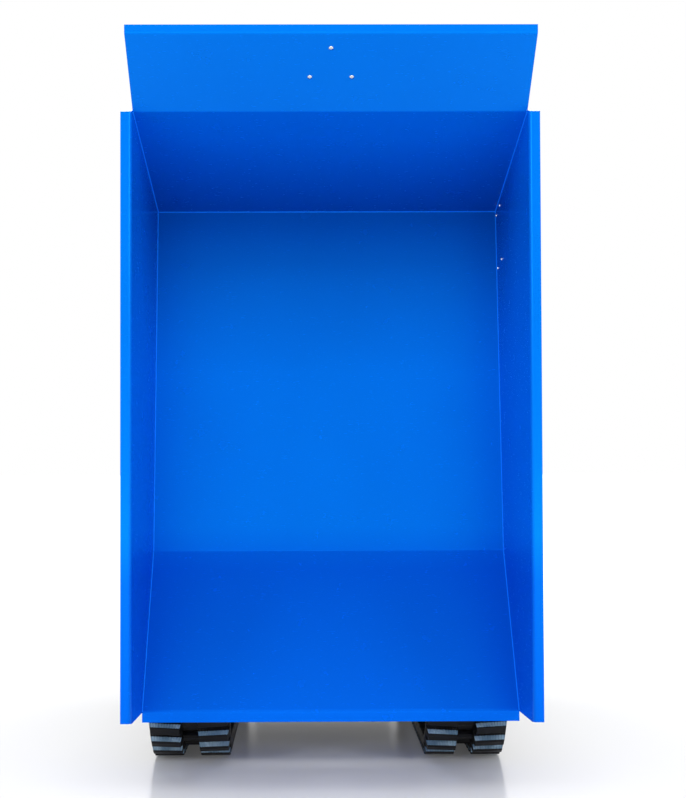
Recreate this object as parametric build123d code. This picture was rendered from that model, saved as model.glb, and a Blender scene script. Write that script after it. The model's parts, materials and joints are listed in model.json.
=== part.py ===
from build123d import *
from math import acos, atan2, cos, degrees, hypot, pi, radians, sin
import os

# A small tracked site dumper with a front-tipping skip, in millimetres.
# X is across the machine, with its left side at +X. The front is at -Y and Z is up.
# The origin is on the ground, midway between the front and rear ends.
# The skip is drawn level, as it travels, and then turned about its hinge to the tipped rest pose.

# Hinge of the skip
hinge_y = -441.0
hinge_z = 400.0
tip_angle = 91.1
pin_r = 20.0
pin_play = 0.05
running_gap = 6.0

# Rubber tracks. The line of a track is the neutral line of its belt.
tracks_over = 798.0
track_width = 180.0
belt_thick = 22.0
lug_height = 20.0
lug_thick = 18.0
lug_taper = 3.5
lug_root = 4.0
lug_start = 0.06
lug_stagger = 0.5
link_pitch = 60.0
links = 42
fit_rounds = 12
centre_gap = 36.0
window_length = 34.0
bar_thick = 18.0
idler_r = 145.0
sprocket_teeth = 15
tooth_reach = 8.0
tooth_width = 20.0
tooth_root = 23.0
tooth_tip = 12.0
tracks_ahead = 20.0
roller_r = 52.0
roller_width = 56.0
rollers = 4
roller_first = 215.0
roller_step = 128.0
carrier_r = 36.0
wheel_width = 56.0
hub_r = 42.0
web_thick = 16.0
wheel_rim = 22.0
wheel_seat = 0.3
motor_r = 62.0
motor_reach = 40.0
motor_neck = 10.0
roller_block = 26.0

# Track frames, each a channel turned down over its rollers
flange = 5.0
flange_gap = 2.0
flange_low = 80.0
channel_top = 242.0
channel_skin = 10.0
nose = 42.0
tube_r = 34.0
tube_z = 190.0

# Chassis, between the tracks
side_plate = 12.0
side_plate_x = 196.0
frame_low = 110.0
frame_high = 330.0
frame_rear = 780.0
nose_long = 100.0
nose_rise = 60.0
deck_ahead = 60.0
cross_r = 30.0
cross_z = 200.0
cross_behind_base = 56.0
cross_ahead_rear = 60.0
hinge_tube_r = 25.0
hinge_tube_back = 111.0
hinge_tube_down = 150.0
belly_thick = 6.0
deck_thick = 8.0
deck_over = 8.0
deck_clear = 24.0
rear_plate = 10.0
rest_beam = 40.0
rest_y = 290.0
pad_r = 24.0
hook_thick = 14.0
hook_reach = 60.0
hook_bore_r = 13.0
hook_up = 20.0
lift_thick = 12.0
lift_r = 27.0
lift_foot = 84.0
lift_bore_r = 16.0
lift_clear = 6.0
lift_ahead = 60.0

# Skip. Its outline runs along the inner faces, as distances forward of the rear rim corner
# and down from the rim.
skip_inner = 740.0
sheet = 4.0
bend_r = 5.0
rim_flange = 21.0
rim_length = 1134.0
hinge_forward = 939.0
hinge_down = 519.0
rear_fold = (114.0, 465.0)
front_fold = (847.0, 371.0)
lip_bend = (1144.0, 165.0)
lip_flange = 21.0
guard_drop = 17.0
guard_back = 3.0
guard_length = 169.0
guard_lean = 42.0
guard_flange = 15.0

# Plates behind the bolts of the guard and of the left wall. The first is set out up the guard,
# the second about its middle, forward and down like the skip.
guard_plate_low = 52.0
guard_plate_high = 156.0
guard_plate_foot = 110.0
guard_plate_head = 44.0
wall_plate_mid = (176.0, 408.0)
wall_plate_long = 150.0
wall_plate_high = 88.0
wall_plate_tilt = 13.0
bolt_plate = 5.0
plate_round = 10.0

# Frame under the skip. The horn of the frame plate and the heel of the rail are in radii of the boss.
rail_x = 174.0
rail_thick = 14.0
rail_deep = 52.0
boss_r = 36.0
horn_rear = (1.6, 0.7)
horn_front = (0.4, 0.9)
rail_heel = (0.8, 0.6)
rail_run = 660.0
rail_ahead = 150.0
rail_knee = 110.0

# Tip cylinder, as places from the hinge with the skip down
eye_back = 105.0
eye_up = 30.0
base_back = 365.0
base_down = 138.0
barrel_r = 34.0
rod_r = 18.0
eye_r = 28.0
eye_wide = 36.0
eye_pin_r = 14.0
ear_thick = 12.0
ear_gap = 3.0
ear_r = 26.0
ear_foot = 90.0
ear_wrap = 14.0
eye_bite = 6.0
rod_eye_r = 26.0
neck = 10.0
neck_r = 17.0
gland_gap = 18.0
barrel_floor = 12.0
rod_short = 24.0
rod_play = 0.1
pin_head = 10.0
pin_end = 6.0

# Engine bay behind the skip
hood_long = 270.0
hood_top = 876.0
hood_wide = 700.0
hood_sheet = 5.0
hood_bend = 25.0
door_thick = 22.0
door_gap = 5.0
knuckle_r = 9.0
knuckle_high = 24.0
hinge_stand = 2.0
door_pin_r = 5.0
leaf_long = 36.0
leaf_high = 23.0
louvres = 7
louvre_long = 150.0
louvre_high = 9.0
louvre_step = 24.0
louvre_down = 70.0
engine_wide = 400.0
engine_high = 330.0
engine_gap = 22.0
cap_r = 34.0
cap_high = 30.0
cap_x = 250.0
exhaust_r = 22.0
exhaust_wall = 4.0
exhaust_in = 40.0
exhaust_up = 110.0
exhaust_length = 50.0
knuckle_in = 100.0

# Console, rail and step
console_wide = 420.0
console_deep = 100.0
console_high = 130.0
console_low = 84.0
console_nose = 20.0
console_round = 12.0
lever_in = 14.0
lever_root = 12.0
grab_tube_r = 14.0
grab_wide = 600.0
grab_high = 200.0
grab_bend = 60.0
step_out = 280.0
step_stand = 24.0
step_wide = 560.0
step_thick = 30.0
step_sheet = 5.0
step_z = 214.0
step_pin_r = 9.0
step_boss_r = 15.0
step_arm = 20.0
step_arm_x = 182.0
step_lug = 12.0
step_lug_low = 40.0
step_lug_play = 2.0
lever_r = 6.0
knob_r = 15.0
knob_top_r = 9.0
knob_high = 34.0
lever_length = 125.0
levers = 5
lever_step = 70.0

# ------------------------------------------------------------------ worked-out places

lugs = links * 3 // 2
half_belt = belt_thick / 2
line_z = lug_height + half_belt
idler_line = idler_r + half_belt
sprocket_line = sprocket_teeth * link_pitch / (2 * pi)
track_x = (tracks_over - track_width) / 2
track_front = hinge_y - tracks_ahead
idler_y = track_front + idler_line + half_belt + lug_height
idler_z = line_z + idler_line
sprocket_z = idler_z + idler_line - sprocket_line
roller_z = line_z + half_belt + roller_r
roller_ys = [idler_y + roller_first + k * roller_step for k in range(rollers)]
deck_z = sprocket_z + sprocket_line + half_belt + lug_height + deck_clear
skip_outer = skip_inner / 2 + sheet
hood_rear = frame_rear + rear_plate
hood_front = hood_rear - hood_long
step_hinge_y = hood_rear + step_stand
step_rear = step_hinge_y + step_out
plate_in = side_plate_x - side_plate / 2
plate_out = side_plate_x + side_plate / 2
flange_in = track_x - wheel_width / 2 - flange_gap
flange_out = track_x + wheel_width / 2 + flange_gap
base_y = hinge_y + base_back
base_z = hinge_z - base_down
eye_side = eye_wide / 2 + ear_gap
deck_front = hood_front - deck_ahead
deck_wide = hood_wide + 2 * deck_over
door_axis_x = hood_wide / 2 + knuckle_r + hinge_stand
door_axis_y = hood_rear - hood_sheet - door_gap
knuckle_zs = [hood_top - knuckle_in, deck_z + knuckle_in]
console_rear = hood_rear - hood_bend
console_front = console_rear - console_deep
grab_y = hood_rear - hood_bend - grab_tube_r
cross_ys = [base_y + cross_behind_base, (base_y + frame_rear) / 2, frame_rear - cross_ahead_rear]
carrier_y = roller_ys[1] + roller_step / 2
lift_ys = [idler_y + lift_ahead, rest_y - rest_beam / 2 - lift_foot / 2 - running_gap]
lift_z = deck_z - deck_clear + lift_clear + lift_bore_r


def tangent_angle(a, b):
    """Angle of the outward normal where a line touches circles a and b on their right."""
    span = hypot(b[0] - a[0], b[1] - a[1])
    return atan2(b[1] - a[1], b[0] - a[0]) - acos((a[2] - b[2]) / span)


def around(centre, radius, angle):
    return (centre[0] + radius * cos(angle), centre[1] + radius * sin(angle))


def loop_edges(sprocket_y, grow=0.0):
    """The track's line about sprocket, idler and last roller, starting on the sprocket."""
    wheels = [
        (sprocket_y, sprocket_z, sprocket_line + grow),
        (idler_y, idler_z, idler_line + grow),
        (roller_ys[-1], roller_z, roller_r + half_belt + grow),
    ]
    edges = []
    for k, wheel in enumerate(wheels):
        after = wheels[(k + 1) % len(wheels)]
        start = tangent_angle(wheels[k - 1], wheel)
        end = tangent_angle(wheel, after)
        turn = (end - start) % (2 * pi)
        middle = around(wheel, wheel[2], start + turn / 2)
        touch = around(wheel, wheel[2], end)
        edges.append(ThreePointArc(around(wheel, wheel[2], start), middle, touch))
        edges.append(Line(touch, around(after, after[2], end)))
    return edges


def loop_length(sprocket_y):
    return sum(edge.length for edge in loop_edges(sprocket_y))


def fitted_sprocket_y():
    """Where the sprocket stands so that the belt holds a whole number of links."""
    place = idler_y + links * link_pitch / 3
    for _ in range(fit_rounds):
        place += (links * link_pitch - loop_length(place)) / 2
    return place


sprocket_y = fitted_sprocket_y()

# ------------------------------------------------------------------ helpers


def slab(face, low_x, high_x):
    """A profile drawn in the Y-Z plane, filled from low_x to high_x."""
    placed = Plane.YZ.offset(low_x) * face
    return extrude(placed, amount=high_x - low_x, dir=(1, 0, 0))


def rod_x(y, z, radius, low_x, high_x):
    """A round bar along X."""
    return slab(Pos(y, z) * Circle(radius), low_x, high_x)


def outline(*points):
    return make_face(Polyline(*points, close=True))


def offset_points(points, thick):
    """The same open line moved to its right by thick, with sharp corners."""
    moved = []
    for k, point in enumerate(points):
        normals = []
        for a, b in zip(points[max(k - 1, 0):k + 1], points[max(k, 1):k + 2]):
            size = hypot(b[0] - a[0], b[1] - a[1])
            normals.append(((b[1] - a[1]) / size, (a[0] - b[0]) / size))
        n, m = normals[0], normals[-1]
        scale = thick / (1 + n[0] * m[0] + n[1] * m[1])
        moved.append((point[0] + (n[0] + m[0]) * scale, point[1] + (n[1] + m[1]) * scale))
    return moved


def bent_sheet(points, thick, inner_r=bend_r):
    """Profile of a folded sheet: the line given, and its thickness to the right of it."""
    near = []
    far = []
    for a, b, c in zip(points, points[1:], points[2:]):
        turn = (b[0] - a[0]) * (c[1] - b[1]) - (b[1] - a[1]) * (c[0] - b[0])
        near.append(inner_r if turn > 0 else inner_r + thick)
        far.append(inner_r + thick if turn > 0 else inner_r)
    other = offset_points(points, thick)
    return make_face([
        FilletPolyline(*points, radius=near),
        Line(points[-1], other[-1]),
        FilletPolyline(*other, radius=far),
        Line(other[0], points[0]),
    ])


def hull_of(*circles):
    """The outline round two circles, each as (y, z, radius)."""
    a, b = circles
    edges = []
    for wheel, after in ((a, b), (b, a)):
        start = tangent_angle(after, wheel)
        end = tangent_angle(wheel, after)
        turn = (end - start) % (2 * pi)
        middle = around(wheel, wheel[2], start + turn / 2)
        touch = around(wheel, wheel[2], end)
        edges.append(ThreePointArc(around(wheel, wheel[2], start), middle, touch))
        edges.append(Line(touch, around(after, after[2], end)))
    return make_face(edges)


def mirrored(piece):
    return mirror(piece, about=Plane.YZ)


def level(point):
    """A skip point, forward of the rear rim corner and down from the rim, as (y, z)."""
    forward, down = point
    return (hinge_y + hinge_forward - forward, hinge_z + hinge_down - down)


def tipped(piece):
    return piece.rotate(Axis((0, hinge_y, hinge_z), (1, 0, 0)), tip_angle)


def save(name, piece):
    """Write one node. A list stays a set of separate solids in one file."""
    if isinstance(piece, (list, tuple)):
        solids = [solid for item in piece for solid in item.solids()]
        piece = Compound(children=solids)
    elif len(piece.solids()) == 1:
        piece = piece.solid()
    piece.label = name
    export_step(piece, f"parts/{name}.step")


def save_pair(name, piece):
    """Write the left piece and its mirror image on the right."""
    save(name + "_left", piece)
    if isinstance(piece, (list, tuple)):
        save(name + "_right", [mirrored(item) for item in piece])
    else:
        save(name + "_right", mirrored(piece))


# ------------------------------------------------------------------ running gear


def track_spots(count, shift):
    """Places evenly spaced along the track's line, each as (y, z, angle of travel)."""
    line = Wire([edge.edge() for edge in loop_edges(sprocket_y)])
    spots = []
    for k in range(count):
        part = ((k + shift) / count) % 1
        at = line.position_at(part)
        way = line.tangent_at(part)
        spots.append((at.X, at.Y, degrees(atan2(way.Y, way.X))))
    return spots


def belt_face():
    outer = make_face(loop_edges(sprocket_y, half_belt))
    inner = make_face(loop_edges(sprocket_y, -half_belt))
    return outer - inner


def lug_band(low_x, high_x, shift):
    """The belt with its lugs in one column, as one profile along the whole belt."""
    half = lug_thick / 2
    foot = lug_root - half_belt
    tip = -half_belt - lug_height
    lug = outline((-half - lug_taper, foot), (-half, tip), (half, tip), (half + lug_taper, foot))
    row = [Pos(y, z) * Rot(0, 0, angle) * lug for y, z, angle in track_spots(lugs, shift)]
    return slab(belt_face() + row, low_x, high_x)


def track():
    """Left track: two staggered columns of lugs, and link bars across the gap between them."""
    low = track_x - centre_gap / 2
    high = track_x + centre_gap / 2
    bar = Box(centre_gap, link_pitch - window_length, bar_thick)
    bars = [Pos(track_x, y, z) * Rot(angle, 0, 0) * bar for y, z, angle in track_spots(links, 0.0)]
    outer = lug_band(high, track_x + track_width / 2, lug_start)
    return outer + lug_band(track_x - track_width / 2, low, lug_start + lug_stagger) + bars


def idler():
    """Idler with a thin coned web, and its hub out to the flanges of the track frame."""
    half = wheel_width / 2
    reach = half + flange_gap
    radius = idler_r - wheel_seat
    side = [(reach, hub_r), (web_thick / 2, hub_r), (half, radius - wheel_rim), (half, radius)]
    other = [(-x, r) for x, r in reversed(side)]
    turned = revolve(make_face(Polyline((reach, 0), *side, *other, (-reach, 0), close=True)), Axis.X)
    return Pos(track_x, idler_y, idler_z) * turned


def sprocket():
    """Drive sprocket: a ring with teeth that stand in the belt's windows."""
    seat = sprocket_line - half_belt - wheel_seat
    tip = sprocket_line + tooth_reach
    root = seat - lug_root
    foot = tooth_root / 2
    head = tooth_tip / 2
    tooth = outline((root, -foot), (tip, -head), (tip, head), (root, foot))
    last_roller = (roller_ys[-1], roller_z, roller_r + half_belt)
    start = tangent_angle(last_roller, (sprocket_y, sprocket_z, sprocket_line))
    step = 360 / sprocket_teeth
    teeth = [Rot(0, 0, degrees(start) + (k + 0.5) * step) * tooth for k in range(sprocket_teeth)]
    ring = Circle(seat) - Circle(motor_r) + teeth
    return slab(Pos(sprocket_y, sprocket_z) * ring, track_x - tooth_width / 2, track_x + tooth_width / 2)


def travel_motor():
    """Hub motor through the sprocket, held by the frame plate."""
    drum = rod_x(sprocket_y, sprocket_z, motor_r, track_x - tooth_width / 2, track_x + motor_reach)
    return drum + rod_x(sprocket_y, sprocket_z, motor_r - motor_neck, plate_out, track_x - tooth_width / 2)


def roller_set():
    """Bottom rollers and one carrier roller, each a drum between the square ends of its axle."""
    carrier_z = idler_z + idler_line - half_belt - carrier_r
    places = [(y, roller_z, roller_r) for y in roller_ys]
    places.append((carrier_y, carrier_z, carrier_r))
    half = roller_width / 2
    block = Rectangle(roller_block, roller_block)
    return [
        rod_x(y, z, radius - wheel_seat, track_x - half, track_x + half)
        + slab(Pos(y, z) * block, flange_in, flange_out)
        for y, z, radius in places
    ]


def track_frame():
    """Channel over the rollers, its flanges out to the idler, and its tubes to the chassis."""
    rear = roller_ys[-1] + roller_r
    carrier_z = idler_z + idler_line - half_belt - carrier_r
    side = outline(
        (idler_y - nose, idler_z + nose), (idler_y - nose, idler_z - nose),
        (roller_ys[0] - roller_r, flange_low), (rear, flange_low), (rear, channel_top),
        (roller_ys[0], channel_top))
    tab = nose / 2
    side += outline((carrier_y - nose, channel_top), (carrier_y + nose, channel_top),
                    (carrier_y + tab, carrier_z + tab), (carrier_y - tab, carrier_z + tab))
    frame = slab(side, flange_in - flange, flange_in) + slab(side, flange_out, flange_out + flange)
    front = idler_y + idler_r + running_gap * 2
    back = sprocket_y - sprocket_line - tooth_reach - running_gap * 3
    skin_low = channel_top - channel_skin
    skin = outline((front, skin_low), (back, skin_low), (back, channel_top), (front, channel_top))
    frame += slab(skin, flange_in, flange_out)
    for y in (roller_ys[0] + roller_step / 2, roller_ys[-1] - roller_step / 2):
        frame += rod_x(y, tube_z, tube_r, plate_out, flange_in - flange)
    return frame


# ------------------------------------------------------------------ chassis


def frame_plate():
    """Side plate between the tracks, with the horn that holds the skip's hinge."""
    rear = [boss_r * part for part in horn_rear]
    front = [boss_r * part for part in horn_front]
    shape = outline(
        (idler_y - nose_long, frame_low + nose_rise), (idler_y, frame_low), (frame_rear, frame_low),
        (frame_rear, deck_z), (deck_front, deck_z), (deck_front - deck_z + frame_high, frame_high),
        (idler_y, frame_high),
        (hinge_y + rear[0], hinge_z + rear[1]), (hinge_y - front[0], hinge_z - front[1]))
    shape += Pos(hinge_y, hinge_z) * Circle(boss_r)
    shape -= Pos(hinge_y, hinge_z) * Circle(pin_r)
    return slab(shape, plate_in, plate_out)


def cross_members():
    """Round tubes between the two side plates, the first one just behind the skip's hinge."""
    tubes = [rod_x(y, cross_z, cross_r, -plate_in, plate_in) for y in cross_ys]
    front_y = hinge_y + hinge_tube_back
    front_z = hinge_z - hinge_tube_down
    return [rod_x(front_y, front_z, hinge_tube_r, -plate_in, plate_in), *tubes]


def belly_plate():
    high = frame_low + belly_thick
    face = outline((idler_y, frame_low), (frame_rear, frame_low), (frame_rear, high), (idler_y, high))
    return slab(face, -plate_in, plate_in)


def hinge_pin():
    """Stub pin from the frame plate through the skip's boss."""
    return rod_x(hinge_y, hinge_z, pin_r, rail_x - rail_thick / 2 - pin_head, plate_out + pin_head)


def cylinder_mount():
    """Two ears on the front cross tube that hold the tip cylinder's base pin."""
    tube = (cross_ys[0], cross_z)
    ear = hull_of((base_y, base_z, eye_r), (tube[0], tube[1], cross_r + ear_wrap))
    ear -= Pos(*tube) * Circle(cross_r)
    ears = [slab(ear, eye_side, eye_side + ear_thick), slab(ear, -eye_side - ear_thick, -eye_side)]
    reach = eye_side + ear_thick + pin_end
    pin = rod_x(base_y, base_z, eye_pin_r, -reach, reach)
    return pin + ears


def rest_stop():
    """Beam across the side plates with a rubber pad under each rail of the lowered skip."""
    square = Pos(rest_y, frame_high + rest_beam / 2) * Rectangle(rest_beam, rest_beam)
    return slab(square, -plate_out, plate_out)


def rest_pads():
    low = frame_high + rest_beam
    high = rail_under_z(rest_y + pad_r) - running_gap
    pad = Pos(rail_x, rest_y, (low + high) / 2) * Cylinder(pad_r, high - low)
    return [pad, mirrored(pad)]


def deck():
    face = outline((deck_front, deck_z), (frame_rear + rear_plate, deck_z),
                   (frame_rear + rear_plate, deck_z + deck_thick), (deck_front, deck_z + deck_thick))
    return slab(face, -deck_wide / 2, deck_wide / 2)


def rear_panel():
    """Plate that closes the chassis at the rear, with the lugs of the step's hinge."""
    face = outline((frame_rear, frame_low), (frame_rear + rear_plate, frame_low),
                   (frame_rear + rear_plate, deck_z), (frame_rear, deck_z))
    plate = slab(face, -plate_out, plate_out)
    lug = outline((frame_rear + rear_plate, step_z - step_lug_low), (step_hinge_y, step_z - step_boss_r),
                  (step_hinge_y, step_z + step_boss_r), (frame_rear + rear_plate, step_z + step_boss_r))
    lug += Pos(step_hinge_y, step_z) * Circle(step_boss_r)
    low = step_arm_x - step_arm / 2 - step_lug_play - step_lug
    pair = slab(lug, low, low + step_lug)
    pin = rod_x(step_hinge_y, step_z, step_pin_r, low, step_arm_x + step_arm / 2)
    return plate + pair + mirrored(pair) + pin + mirrored(pin)


def tow_hook():
    """Plate under the step with an upright hole for a shackle."""
    start = frame_rear + rear_plate
    face = Pos(0, start + hook_reach / 2) * Rectangle(hook_reach, hook_reach)
    face += Pos(0, start + hook_reach) * Circle(hook_reach / 2)
    face -= Pos(0, start + hook_reach) * Circle(hook_bore_r)
    return Pos(0, 0, frame_low + hook_up) * extrude(face, amount=hook_thick)


def lifting_eyes():
    """Four eye plates that stand on the side plates' top edges, with their holes above the tracks."""
    eyes = []
    for y in lift_ys:
        foot = lift_foot / 2
        eye = outline(
            (y - foot, frame_high), (y + foot, frame_high), (y + lift_r, lift_z), (y - lift_r, lift_z))
        eye += Pos(y, lift_z) * Circle(lift_r)
        eye -= Pos(y, lift_z) * Circle(lift_bore_r)
        eyes.append(slab(eye, side_plate_x - lift_thick / 2, side_plate_x + lift_thick / 2))
    return eyes + [mirrored(eye) for eye in eyes]


# ------------------------------------------------------------------ engine bay


def hood_line():
    floor = deck_z + deck_thick
    return [(hood_front, floor), (hood_front, hood_top), (hood_rear, hood_top), (hood_rear, floor)]


def hood():
    """Sheet wrapped over the engine bay, front, top and rear, with a hinge lug at each door."""
    sheet_face = bent_sheet(hood_line(), hood_sheet, hood_bend - hood_sheet)
    shell = slab(sheet_face, -hood_wide / 2, hood_wide / 2)
    for z in knuckle_zs:
        wide = door_axis_x - hood_wide / 2 + knuckle_r
        lug = Box(wide, hood_sheet, knuckle_high, align=(Align.MIN, Align.MAX, Align.CENTER))
        lug = Pos(hood_wide / 2, hood_rear, z) * lug
        lug += Pos(door_axis_x, door_axis_y, z) * Cylinder(knuckle_r, knuckle_high)
        lug += Pos(door_axis_x, door_axis_y, z - knuckle_high) * Cylinder(door_pin_r, knuckle_high)
        shell += lug + mirrored(lug)
    return shell


def door():
    """Left side door of the engine bay, with louvres and its knuckles on the upright hinge."""
    floor = deck_z + deck_thick + door_gap
    front = hood_front + hood_sheet + door_gap
    top = hood_top - hood_sheet - door_gap
    face = outline((front, floor), (door_axis_y, floor), (door_axis_y, top), (front, top))
    face = fillet(face.vertices().group_by(Axis.Y)[-1], hood_bend - hood_sheet - door_gap)
    slot = Pos((front + door_axis_y) / 2, top - louvre_down) * Rectangle(louvre_long, louvre_high)
    face -= [Pos(0, -k * louvre_step) * slot for k in range(louvres)]
    panel = slab(face, hood_wide / 2 - door_thick, hood_wide / 2)
    for z in knuckle_zs:
        middle = Pos(door_axis_x, door_axis_y, z - knuckle_high)
        reach = door_axis_x - hood_wide / 2
        leaf = Box(reach, leaf_long, leaf_high, align=(Align.MIN, Align.MAX, Align.CENTER))
        leaf = Pos(hood_wide / 2, door_axis_y, z - knuckle_high) * leaf
        leaf += middle * Cylinder(knuckle_r, leaf_high)
        panel += leaf - middle * Cylinder(door_pin_r + pin_play, knuckle_high * 2)
    return panel


def engine_block():
    floor = deck_z + deck_thick
    front = hood_front + hood_sheet + engine_gap
    rear = hood_rear - hood_sheet - engine_gap
    face = outline((front, floor), (rear, floor), (rear, floor + engine_high), (front, floor + engine_high))
    return slab(face, -engine_wide / 2, engine_wide / 2)


def console():
    """Control desk on the hood, its top sloping down to the driver."""
    face = outline(
        (console_front, hood_top), (console_rear, hood_top), (console_rear, hood_top + console_low),
        (console_front + console_nose, hood_top + console_high),
        (console_front, hood_top + console_high - console_nose))
    upper = [corner for corner in face.vertices() if corner.Y > hood_top + console_low / 2]
    return slab(fillet(upper, console_round), -console_wide / 2, console_wide / 2)


def lever_row():
    """Upright control levers with tapered knobs, standing on the desk's sloping top."""
    y = console_front + console_nose + lever_in
    desk_z = hood_top + console_high
    fall = (console_high - console_low) / (console_rear - console_front - console_nose)
    foot = desk_z - (y + lever_r - console_front - console_nose) * fall - lever_root
    cut = Plane(origin=(0, console_front + console_nose, desk_z), x_dir=(1, 0, 0), z_dir=(0, fall, 1))
    stick = Cylinder(lever_r, lever_length - knob_high / 2, align=(Align.CENTER, Align.CENTER, Align.MIN))
    knob = Pos(0, 0, lever_length - knob_high / 2) * Cone(knob_r, knob_top_r, knob_high)
    spots = [(k - (levers - 1) / 2) * lever_step for k in range(levers)]
    return [split(Pos(x, y, foot) * (stick + knob), bisect_by=cut, keep=Keep.TOP) for x in spots]


def grab_rail():
    """Tube hoop that stands on the hood round the console."""
    half = grab_wide / 2
    top = hood_top + grab_high
    foot = (-half, grab_y, hood_top)
    corners = [(-half, grab_y, top), (half, grab_y, top)]
    path = FilletPolyline(foot, *corners, (half, grab_y, hood_top), radius=grab_bend)
    return sweep(Plane(origin=foot) * Circle(grab_tube_r), path=path)


def filler_caps():
    cap = Cylinder(cap_r, cap_high, align=(Align.CENTER, Align.CENTER, Align.MIN))
    return [Pos(x, console_front - 2 * cap_r, hood_top) * cap for x in (-cap_x, cap_x)]


def exhaust():
    x = hood_wide / 2 - exhaust_in
    mouth = Plane(origin=(-x, hood_rear, deck_z + exhaust_up), z_dir=(0, 1, 0))
    return extrude(mouth * (Circle(exhaust_r) - Circle(exhaust_r - exhaust_wall)), amount=exhaust_length)


# ------------------------------------------------------------------ step


def step():
    """Fold-down step: a tread with its front and rear edges turned down, and an arm at each side."""
    front = step_hinge_y + step_boss_r + running_gap
    low = step_z - step_thick / 2
    high = step_z + step_thick / 2
    tread = bent_sheet([(front, low), (front, high), (step_rear, high), (step_rear, low)], step_sheet)
    plate = slab(tread, -step_wide / 2, step_wide / 2)
    length = step_rear - step_sheet - step_hinge_y
    arm = Pos(step_hinge_y + length / 2, step_z) * Rectangle(length, 2 * step_boss_r - step_sheet)
    arm += Pos(step_hinge_y, step_z) * Circle(step_boss_r)
    arm -= Pos(step_hinge_y, step_z) * Circle(step_pin_r + pin_play)
    bar = slab(arm, step_arm_x - step_arm / 2, step_arm_x + step_arm / 2)
    return plate + bar + mirrored(bar)


# ------------------------------------------------------------------ skip


def bed_line():
    """The bed's inner line with the skip level, from the lip's flange back to the rear fold."""
    flange_end = (lip_bend[0] + lip_flange, lip_bend[1])
    return [level(point) for point in (flange_end, lip_bend, front_fold, rear_fold)]


def toward(a, b, distance):
    """The point at a distance from a on the way to b."""
    part = distance / hypot(b[0] - a[0], b[1] - a[1])
    return (a[0] + part * (b[0] - a[0]), a[1] + part * (b[1] - a[1]))


def rail_under_z(y):
    """Height of the rails' underside over a place y, with the skip level."""
    _, _, a, b = offset_points(bed_line(), sheet + rail_deep)
    return a[1] + (b[1] - a[1]) * (y - a[0]) / (b[0] - a[0])


def guard_points():
    lean = radians(guard_lean)
    base = (-guard_back, guard_drop)
    top = (base[0] - guard_length * sin(lean), base[1] - guard_length * cos(lean))
    return base, top, (top[0] - guard_flange, top[1])


def skip_bed():
    """One folded sheet: the floor, the front panel and the lip's flange."""
    return slab(bent_sheet(bed_line(), sheet), -skip_inner / 2, skip_inner / 2)


def skip_back():
    """One folded sheet: the rear wall, the guard above it and the guard's flange."""
    points = [level(point) for point in (rear_fold, *guard_points())]
    return slab(bent_sheet(points, sheet), -skip_inner / 2, skip_inner / 2)


def wall_face():
    """Outline of a side wall, out to the outer faces of the bed and the rear wall."""
    edge = [*bed_line()[1:], level(guard_points()[0])]
    return outline(level((0.0, 0.0)), level((rim_length, 0.0)), *offset_points(edge, sheet))


def skip_side():
    """Left wall with its rim folded outward, one sheet."""
    rear_y, rim_z = level((-skip_inner, 0.0))
    inner = skip_inner / 2
    fold = bent_sheet([(inner, -skip_inner), (inner, 0), (inner + rim_flange, 0)], sheet)
    section = Plane(origin=(0, rear_y, rim_z), x_dir=(1, 0, 0), z_dir=(0, -1, 0)) * fold
    folded = extrude(section, amount=rim_length + 2 * skip_inner)
    return folded & slab(wall_face(), inner, inner + rim_flange)


def guard_plate():
    """Backing plate behind the three bolts of the guard."""
    base, top, _ = [level(point) for point in guard_points()]
    way_y = (top[0] - base[0]) / guard_length
    way_z = (top[1] - base[1]) / guard_length
    back = (0, base[0] + way_z * sheet, base[1] - way_y * sheet)
    outer = Plane(origin=back, x_dir=(-1, 0, 0), z_dir=(0, way_z, -way_y))
    foot = guard_plate_foot / 2
    head = guard_plate_head / 2
    low = guard_plate_low
    high = guard_plate_high
    shape = outline((-foot, low), (foot, low), (head, high), (-head, high))
    return extrude(outer * fillet(shape.vertices(), plate_round), amount=bolt_plate)


def wall_plate():
    """Backing plate behind the four bolts of the left wall."""
    shape = RectangleRounded(wall_plate_long, wall_plate_high, plate_round)
    placed = Pos(*level(wall_plate_mid)) * Rot(0, 0, -wall_plate_tilt) * shape
    return slab(placed & wall_face(), skip_outer, skip_outer + bolt_plate)


def skip_rails():
    """Two deep rails under the floor, each ending in a bored boss on the hinge."""
    _, lip, fold, rear = offset_points(bed_line(), sheet)
    _, _, low_fold, low_rear = offset_points(bed_line(), sheet + rail_deep)
    heel = [boss_r * part for part in rail_heel]
    shape = outline(
        toward(fold, rear, rail_run), fold, toward(fold, lip, rail_ahead),
        (hinge_y - boss_r, hinge_z), (hinge_y + heel[0], hinge_z - heel[1]),
        toward(low_fold, low_rear, rail_knee), toward(low_fold, low_rear, rail_run))
    shape += Pos(hinge_y, hinge_z) * Circle(boss_r)
    shape -= Pos(hinge_y, hinge_z) * Circle(pin_r + pin_play)
    rail = slab(shape, rail_x - rail_thick / 2, rail_x + rail_thick / 2)
    return [rail, mirrored(rail)]


def eye_ears():
    """Two ears under the floor at the rod's eye. The eye drifts, so no pin crosses it."""
    _, _, fold, rear = offset_points(bed_line(), sheet)
    y = hinge_y + eye_back
    z = hinge_z + eye_up
    shape = outline(
        toward(fold, rear, bend_r * 2), toward(fold, rear, ear_foot), (y + ear_r, z), (y - ear_r, z))
    shape += Pos(y, z) * Circle(ear_r)
    ear = slab(shape, eye_side, eye_side + ear_thick)
    head = rod_x(y, z, eye_pin_r, eye_side + ear_thick, eye_side + ear_thick + pin_end)
    return [ear + head, mirrored(ear + head)]


# ------------------------------------------------------------------ tip cylinder


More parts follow.
